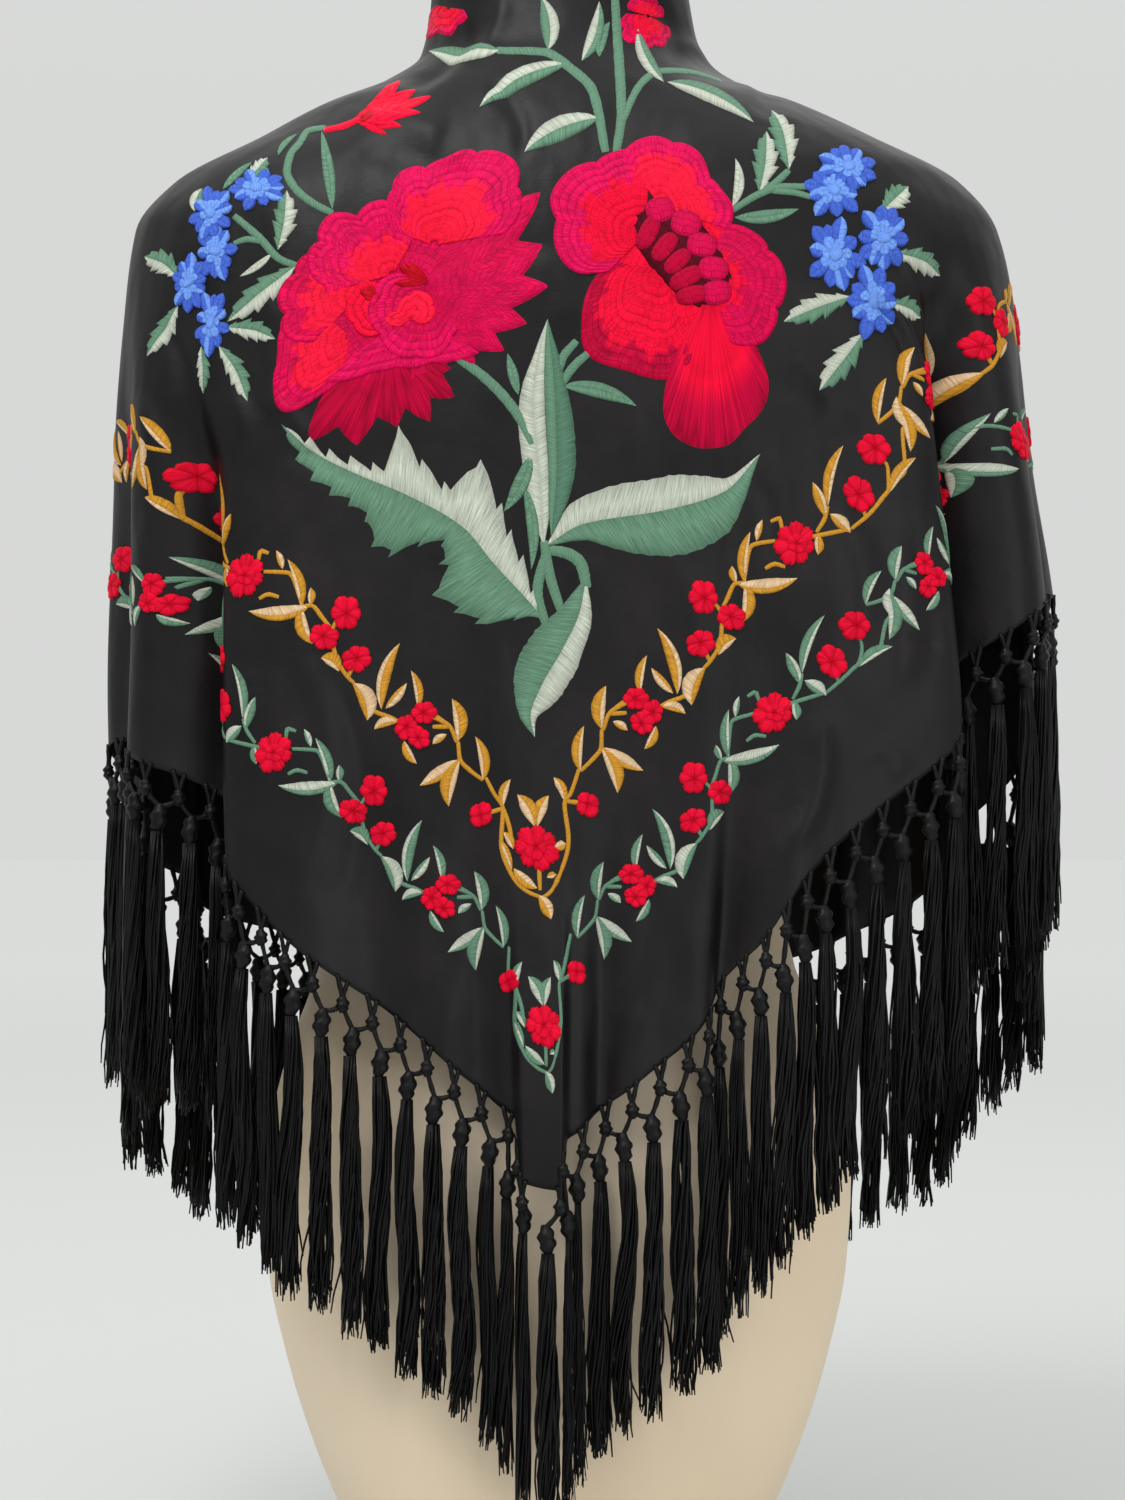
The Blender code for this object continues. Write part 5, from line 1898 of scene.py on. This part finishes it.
@dataclass
class Garland:
    """A running spray of leaves and small red flowers along one guide, on both sides."""

    drape: Drape
    guide_left: tuple[Place, ...]
    guide_right: tuple[Place, ...]
    main: Colour
    pale: Colour
    scale: float = 1.0
    cell: float = 0.262
    first: float = 0.027
    edge_room: float = 0.014
    cell_start: float = 30
    repeats: int = 4
    leaf_fullness: float = 1.16
    bloom_fullness: float = 1.1
    heart_share: float = 0.55
    large_bloom: float = 9
    stem_width: float = 0.0029

    leaves: tuple[GarlandLeaf, ...] = tuple(GarlandLeaf(*row) for row in (
        ((47, 9), (69, 22), 5.5, 2), ((65, 7.6), (50, -15), 7.6, 2),
        ((65, 7), (67.5, -19), 6.6, -1.5, True), ((73, 13), (93, 25), 7, 2),
        ((80, 10.5), (80.5, 1), 4, 0, True), ((102, -6), (107, -19), 5, 1.5, True),
        ((92, -10), (77.5, -12.5), 4.5, 1), ((101, 7.5), (120, 17), 4.5, 1.5),
        ((112, -7), (116, 11), 4.5, 0, True), ((113, -9), (135, 21.5), 6.5, -4.5),
        ((113, -19), (134, -12), 8.8, 2.5, True), ((145, -14), (159.5, -15.5), 7, 2),
        ((182, 5.3), (187, 13.7), 4), ((186, 2), (208, 20), 5.5, 2), ((186, 2), (169, -12), 6.6, 2),
        ((182, 5), (210, -16), 7.5, -4, True), ((207, 14), (218, 20), 3.6, 0, True),
        ((236, -7), (227.5, -15), 5), ((249.5, -4.6), (251, -20), 7, 0, True),
        ((252, -1), (284, 15), 5.5, 3), ((246, -4), (255, 14), 6, -1.5),
        ((285, -21), (312, -19.5), 5.5, 2), ((320, -4), (328.5, 11), 7, 0, True),
    ))
    stems: tuple[tuple[Place, ...], ...] = (
        ((47, 9), (56, 7.5), (65, 7.6), (73, 13)),
        ((73, 12), (82, 14.5), (97, 8)),
        ((82, 14.5), (88, 7)),
        ((82, 14.5), (92, 12)),
        ((97, -4), (107, -8), (113, -12), (122, -15), (134, -12)),
        ((134, -12), (139, -12.5), (153, -9.5), (163.5, -1.4), (166, 9)),
        ((139, -12.5), (144, -2)),
        ((163.5, 0), (173, 3), (182, 5.3), (186, 2)),
        ((186, 3), (203, 14), (216, 6.5)),
        ((200, 0), (206, -2), (209, -7)),
        ((221, 16), (226, 14), (223, 9)),
        ((226, -2), (234, -7), (253, -19)),
        ((236, -6), (246, -4), (252, -1)),
        ((253, -19), (266, -20.5), (281, -20), (286, -19.5), (295, -11), (296, -5)),
        ((264, -20), (270, -9)),
        ((290, -19), (302, -19), (317.5, -4), (327, -5)),
    )
    flowers: tuple[tuple[float, float, float], ...] = (
        (97, 8, 6.0),
        (97, -4, 5.9),
        (88, -3, 5.7),
        (144, -2, 7.0),
        (163.5, 12.3, 8.0),
        (166.6, -5.2, 7.0),
        (223, -2, 10.5),
        (270, -9, 8.5),
        (297, 1.4, 8.5),
    )

    def embroider(self, work: Stitchery) -> None:
        """Repeats the cell along both guides as far as the front edges.

        Args:
            work: The drawing.
        """
        for side, guide in ((-1, self.guide_left), (1, self.guide_right)):
            curve = through(guide, 900)
            run = np.concatenate([[0.0], np.cumsum(np.linalg.norm(np.diff(curve, axis=0), axis=1))])
            normal = side * beside(curve)
            limit = abs(self.drape.front_edge(side)) - self.edge_room

            def at(place: Place, offset: float) -> np.ndarray:
                """The guide's point at a distance, moved along its normal."""
                along = offset + self.first + MM * self.scale * (place[0] - self.cell_start)
                tables = (curve, normal)
                parts = [np.interp(along, run, table[:, axis]) for table in tables for axis in (0, 1)]
                return np.array(parts[:2]) + MM * self.scale * place[1] * np.array(parts[2:])

            for number in range(self.repeats):
                offset = number * self.cell * self.scale
                room = run[-1] - self.edge_room - offset - self.first

                def fits(*places: Place) -> bool:
                    """True where all the places lie short of the front edge."""
                    return all(
                        MM * self.scale * (p[0] - self.cell_start) < room and abs(at(p, offset)[0]) < limit
                        for p in places
                    )

                for leaf in self.leaves:
                    if not fits(leaf.base, leaf.tip):
                        continue
                    silks = (self.pale, self.main) if leaf.pale else (self.main, self.pale)
                    work.simple_leaf(
                        at(leaf.base, offset),
                        at(leaf.tip, offset),
                        self.leaf_fullness * MM * self.scale * leaf.width,
                        side * MM * self.scale * leaf.bow,
                        silks[::side],
                        1.0,
                        0.64 if side > 0 else 0.36,
                    )
                for stem in self.stems:
                    if fits(*stem):
                        places = [tuple(at(p, offset)) for p in stem]
                        work.stem(places, self.stem_width * self.scale, self.main, 0.2)
                for bloom, (out, up, radius) in enumerate(self.flowers):
                    if not fits((out, up)):
                        continue
                    heart, size = at((out, up), offset), MM * self.scale * radius
                    petals, frill = (7, 0.05) if radius > self.large_bloom else (6, 0.02)
                    turn, layer = 1.3 * bloom + number, 2.0 + 0.5 * (bloom % 3)
                    work.blossom(heart, self.bloom_fullness * size, turn, layer, petals, frill)
                    if radius > self.large_bloom:
                        work.blossom(heart, self.heart_share * size, 0.4 + bloom, 3.8, 5, 0.04)


@dataclass
class GarlandHeart:
    """The frame of leaves round the flower where a garland turns at the centre back."""

    centre: Place
    main: Colour
    pale: Colour
    joints: tuple[Place, Place]
    buds: tuple[Place, Place]
    scale: float = 1.0
    right: float = 1.0

    def embroider(self, work: Stitchery) -> None:
        """Adds the frame, in millimetres from the flower.

        Args:
            work: The drawing.
        """
        heart, size = np.array(self.centre), MM * self.scale

        def at(x: float, z: float) -> np.ndarray:
            """A place of the frame, its right side drawn in by the squeeze."""
            return heart + size * np.array([x * (self.right if x > 0 else 1.0), z])

        far_left, far_right = self.joints
        bud_left, bud_right = self.buds
        arcs = (
            (far_left, (-23, 29), (-18.2, 21), (-19.8, 1), (-13.4, -17), (-5, -25), (3, -28)),
            ((-18.2, 22), (-14.5, 9), (-13.5, 0)),
            (far_right, (19.7, 29), (16.4, 24), (18.9, 3), (11.6, -20), (7, -26), (3, -28)),
            ((-18, 21), bud_left),
            ((16.4, 25), bud_right),
            ((1.5, -8), (2, -24)),
        )
        for arc in arcs:
            work.stem([tuple(at(*place)) for place in arc], 0.0030 * self.scale, self.main, 0.2)
        leaves = (
            ((-0.5, 11), (-10, 28.5), 9, -2),
            ((1, 11), (7.6, 28), 8, 2),
            ((1, -27), (8.4, -40), 8, 1),
            ((-18, 22), (-13.5, 37), 5.5, 2),
            ((16.4, 25), (10.5, 38), 5.5, -1.5),
            ((-18.2, 8), (-13, -1.5), 5, 1),
            ((-13, -12), (0.5, -23), 7, -1.5),
            ((6, -17), (12, -15.5), 4, 0.5),
            ((10.5, -1), (17.5, 1.5), 6, 0),
            ((-20.5, 4), (-14, -13), 4, 1),
        )
        for number, (base, tip, width, bow) in enumerate(leaves):
            silks = (self.main, self.pale) if number % 2 else (self.pale, self.main)
            work.simple_leaf(at(*base), at(*tip), size * width, size * bow, silks)
        for place in self.buds:
            work.blossom(at(*place), 0.0068 * self.scale, 0.02 * place[0], 2.0, 4, 0.04)
        work.blossom(heart, 0.0123 * self.scale, 0.5, 2.0, 7, 0.05)
        work.blossom(heart, 0.0070 * self.scale, 1.1, 3.8, 5, 0.04)


GOLD_LEFT = (
    (-0.012, 0.446), (-0.042, 0.467), (-0.080, 0.511), (-0.117, 0.555), (-0.168, 0.589), (-0.235, 0.655),
    (-0.295, 0.668), (-0.36, 0.66), (-0.43, 0.615), (-0.52, 0.576), (-0.67, 0.545),
)
GOLD_RIGHT = (
    (-0.010, 0.446), (0.013, 0.469), (0.047, 0.515), (0.087, 0.565), (0.137, 0.612), (0.186, 0.658),
    (0.221, 0.689),
    (0.267, 0.715), (0.30, 0.745), (0.394, 0.737), (0.43, 0.70), (0.50, 0.62), (0.57, 0.575), (0.73, 0.545),
)
GREEN_LEFT = (
    (-0.008, 0.351), (-0.035, 0.377), (-0.071, 0.419), (-0.107, 0.462), (-0.149, 0.491), (-0.19, 0.53),
    (-0.222, 0.577), (-0.275, 0.586), (-0.327, 0.60), (-0.36, 0.575), (-0.43, 0.515), (-0.52, 0.478),
    (-0.67, 0.445),
)
GREEN_RIGHT = (
    (-0.006, 0.352), (0.010, 0.375), (0.044, 0.416), (0.076, 0.460), (0.113, 0.510), (0.151, 0.553),
    (0.198, 0.578),
    (0.23, 0.607), (0.277, 0.665), (0.36, 0.68), (0.43, 0.61), (0.50, 0.53), (0.57, 0.48), (0.73, 0.45),
)


@dataclass
class Embroidery:
    """All the silk embroidery, piece by piece."""

    drape: Drape

    def build(self, silk: bpy.types.Material, filled: bpy.types.Material) -> list[bpy.types.Object]:
        """Draws the bouquet as seen and the garlands on the cloth, and lays them.

        Args:
            silk: The embroidery silk in long stitches.
            filled: The silk in rows of short stitches, for the large petals.

        Returns:
            The embroidered pieces.
        """
        bouquet = Bouquet()
        blossoms = Stitchery(self.drape, Layout.SEEN)
        PeonyPair().embroider(blossoms)
        bouquet.red_sprays(blossoms)
        greenery = Stitchery(self.drape, Layout.SEEN)
        bouquet.stems(greenery)
        bouquet.big_leaves(greenery)
        bouquet.small_leaves(greenery)
        bouquet.toothed_leaves(greenery)
        stars = Stitchery(self.drape, Layout.SEEN)
        bouquet.stars(stars)
        gold = Stitchery(self.drape, Layout.CLOTH)
        Garland(self.drape, GOLD_LEFT, GOLD_RIGHT, GOLD, PEACH).embroider(gold)
        GarlandHeart(
            (-0.012, 0.442), GOLD, PEACH, ((-27.5, 38), (24.5, 43)), ((-31, 17), (29.3, 23.4))
        ).embroider(gold)
        green = Stitchery(self.drape, Layout.CLOTH)
        Garland(self.drape, GREEN_LEFT, GREEN_RIGHT, SAGE, MINT, 0.93).embroider(green)
        GarlandHeart(
            (-0.0088, 0.3445), SAGE, MINT, ((-21.7, 46), (28, 53.4)), ((-23, 25), (34, 31)), 0.93, 0.68
        ).embroider(green)
        names = ("large_blossoms", "bouquet_leaves", "blue_stars", "gold_garland", "green_garland")
        works = (blossoms, greenery, stars, gold, green)
        silks = (filled, silk, silk, silk, silk)
        return [work.finish(*row) for work, *row in zip(works, names, silks)]


# --- The studio --------------------------------------------------------------------------
@dataclass
class Studio:
    """Camera at the photograph's angle, pale floor and soft light."""

    camera_x: float = 0.0032
    camera_distance: float = 2.1
    camera_height: float = 0.495
    focal_in_pixels: float = 3582.0
    picture_height: float = 1500.0
    floor_half: float = 14.0
    lights: tuple[tuple[str, Triple, float, float], ...] = (
        ("key", (-0.8, -1.7, 2.6), 46.0, 1.1),
        ("fill", (1.5, -2.2, 0.7), 15.0, 1.6),
        ("rim", (0.3, 2.0, 2.2), 5.0, 1.8),
    )
    aim_at: Triple = (0.0, 0.0, 0.55)
    surround_least: float = 0.46
    surround_gains: tuple[tuple[str, float, float, float], ...] = (
        ("Z", 0.15, 0.95, 0.85),
        ("Y", 0.1, 0.8, 0.23),
    )

    def build(self) -> None:
        """Makes the camera, the floor, the lights and the pale surround."""
        scene = bpy.context.scene
        scene.view_settings.view_transform = "Standard"
        camera = bpy.data.objects.new("camera", bpy.data.cameras.new("camera"))
        camera.data.sensor_fit = "VERTICAL"
        camera.data.sensor_height = 24.0
        camera.data.lens = camera.data.sensor_height * self.focal_in_pixels / self.picture_height
        camera.location = (self.camera_x, -self.camera_distance, self.camera_height)
        camera.rotation_euler = (math.pi / 2, 0.0, 0.0)
        scene.collection.objects.link(camera)
        scene.camera = camera
        floor_grid = np.linspace(-self.floor_half, self.floor_half, 9)
        x, y = np.meshgrid(floor_grid, floor_grid)
        builder = SurfaceBuilder()
        builder.add_grid(np.stack([x, y, 0 * x - 0.0005], axis=-1)[:, ::-1])
        mesh = builder.mesh("floor")
        mesh.materials.append(FloorFinish().build())
        floor = bpy.data.objects.new("floor", mesh)
        scene.collection.objects.link(floor)
        scene.world = self.surround()
        for lamp in self.lights:
            self.light(*lamp)

    def surround(self) -> bpy.types.World:
        """Makes the pale surround: brightest overhead, dimmer to the sides and behind the camera."""
        world = bpy.data.worlds.new("pale_surround")
        world.use_nodes = True
        tree = world.node_tree
        way = tree.nodes.new("ShaderNodeSeparateXYZ")
        tree.links.new(tree.nodes.new("ShaderNodeTexCoord").outputs["Generated"], way.inputs[0])
        total = self.surround_least
        for axis, low, high, gain in self.surround_gains:
            share = tree.nodes.new("ShaderNodeMapRange")
            share.interpolation_type = "SMOOTHSTEP"
            for name, value in (("From Min", low), ("From Max", high), ("To Max", gain)):
                share.inputs[name].default_value = value
            tree.links.new(way.outputs[axis], share.inputs["Value"])
            strength = tree.nodes.new("ShaderNodeMath")
            tree.links.new(share.outputs["Result"], strength.inputs[0])
            if isinstance(total, float):
                strength.inputs[1].default_value = total
            else:
                tree.links.new(total, strength.inputs[1])
            total = strength.outputs[0]
        background = tree.nodes["Background"]
        background.inputs["Color"].default_value = (0.985, 1.0, 0.985, 1)
        tree.links.new(total, background.inputs["Strength"])
        return world

    def light(self, name: str, place: tuple[float, float, float], power: float, size: float) -> None:
        """Adds a soft square light that faces the shawl's middle.

        Args:
            name: The light's name.
            place: Where it stands.
            power: Its power in watts.
            size: Its side.
        """
        lamp = bpy.data.lights.new(name, "AREA")
        lamp.energy = power
        lamp.size = size
        holder = bpy.data.objects.new(name, lamp)
        holder.location = place
        aim = np.array(self.aim_at) - np.array(place)
        flat = math.hypot(aim[0], aim[1])
        holder.rotation_euler = (math.pi / 2 + math.atan2(aim[2], flat), 0.0, math.atan2(-aim[0], aim[1]))
        bpy.context.scene.collection.objects.link(holder)


def corners(box: Iterable[Iterable[float]]) -> list[list[float]]:
    """A box as plain lists of numbers."""
    return [[float(value) for value in corner] for corner in box]


def main() -> None:
    logging.basicConfig(level=logging.INFO, format="%(name)s: %(message)s")
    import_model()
    Studio().build()
    drape = Drape()
    form = DressForm().build(ShellFinish().build())
    LOG.info("dress form: %d faces", len(form.data.polygons))
    cloth = ShawlCloth(drape).build(CrepeFinish().build())
    LOG.info("cloth: %d faces on its outside", len(cloth.data.polygons))
    silks = (SilkThreadFinish().build(), SilkThreadFinish("filled_silk", rows_per_metre=260.0).build())
    for piece in Embroidery(drape).build(*silks):
        LOG.info("%s: %d faces", piece.name, len(piece.data.polygons))
    cord = CordFinish().build()
    fringe = Fringe(drape, -1, 0.004, 1).build(cord) + Fringe(drape, 1, 0.001, 0).build(cord)
    for piece in fringe:
        LOG.info("%s: %d faces", piece.name, len(piece.data.polygons))
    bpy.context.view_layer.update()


if __name__ == "__main__":
    main()
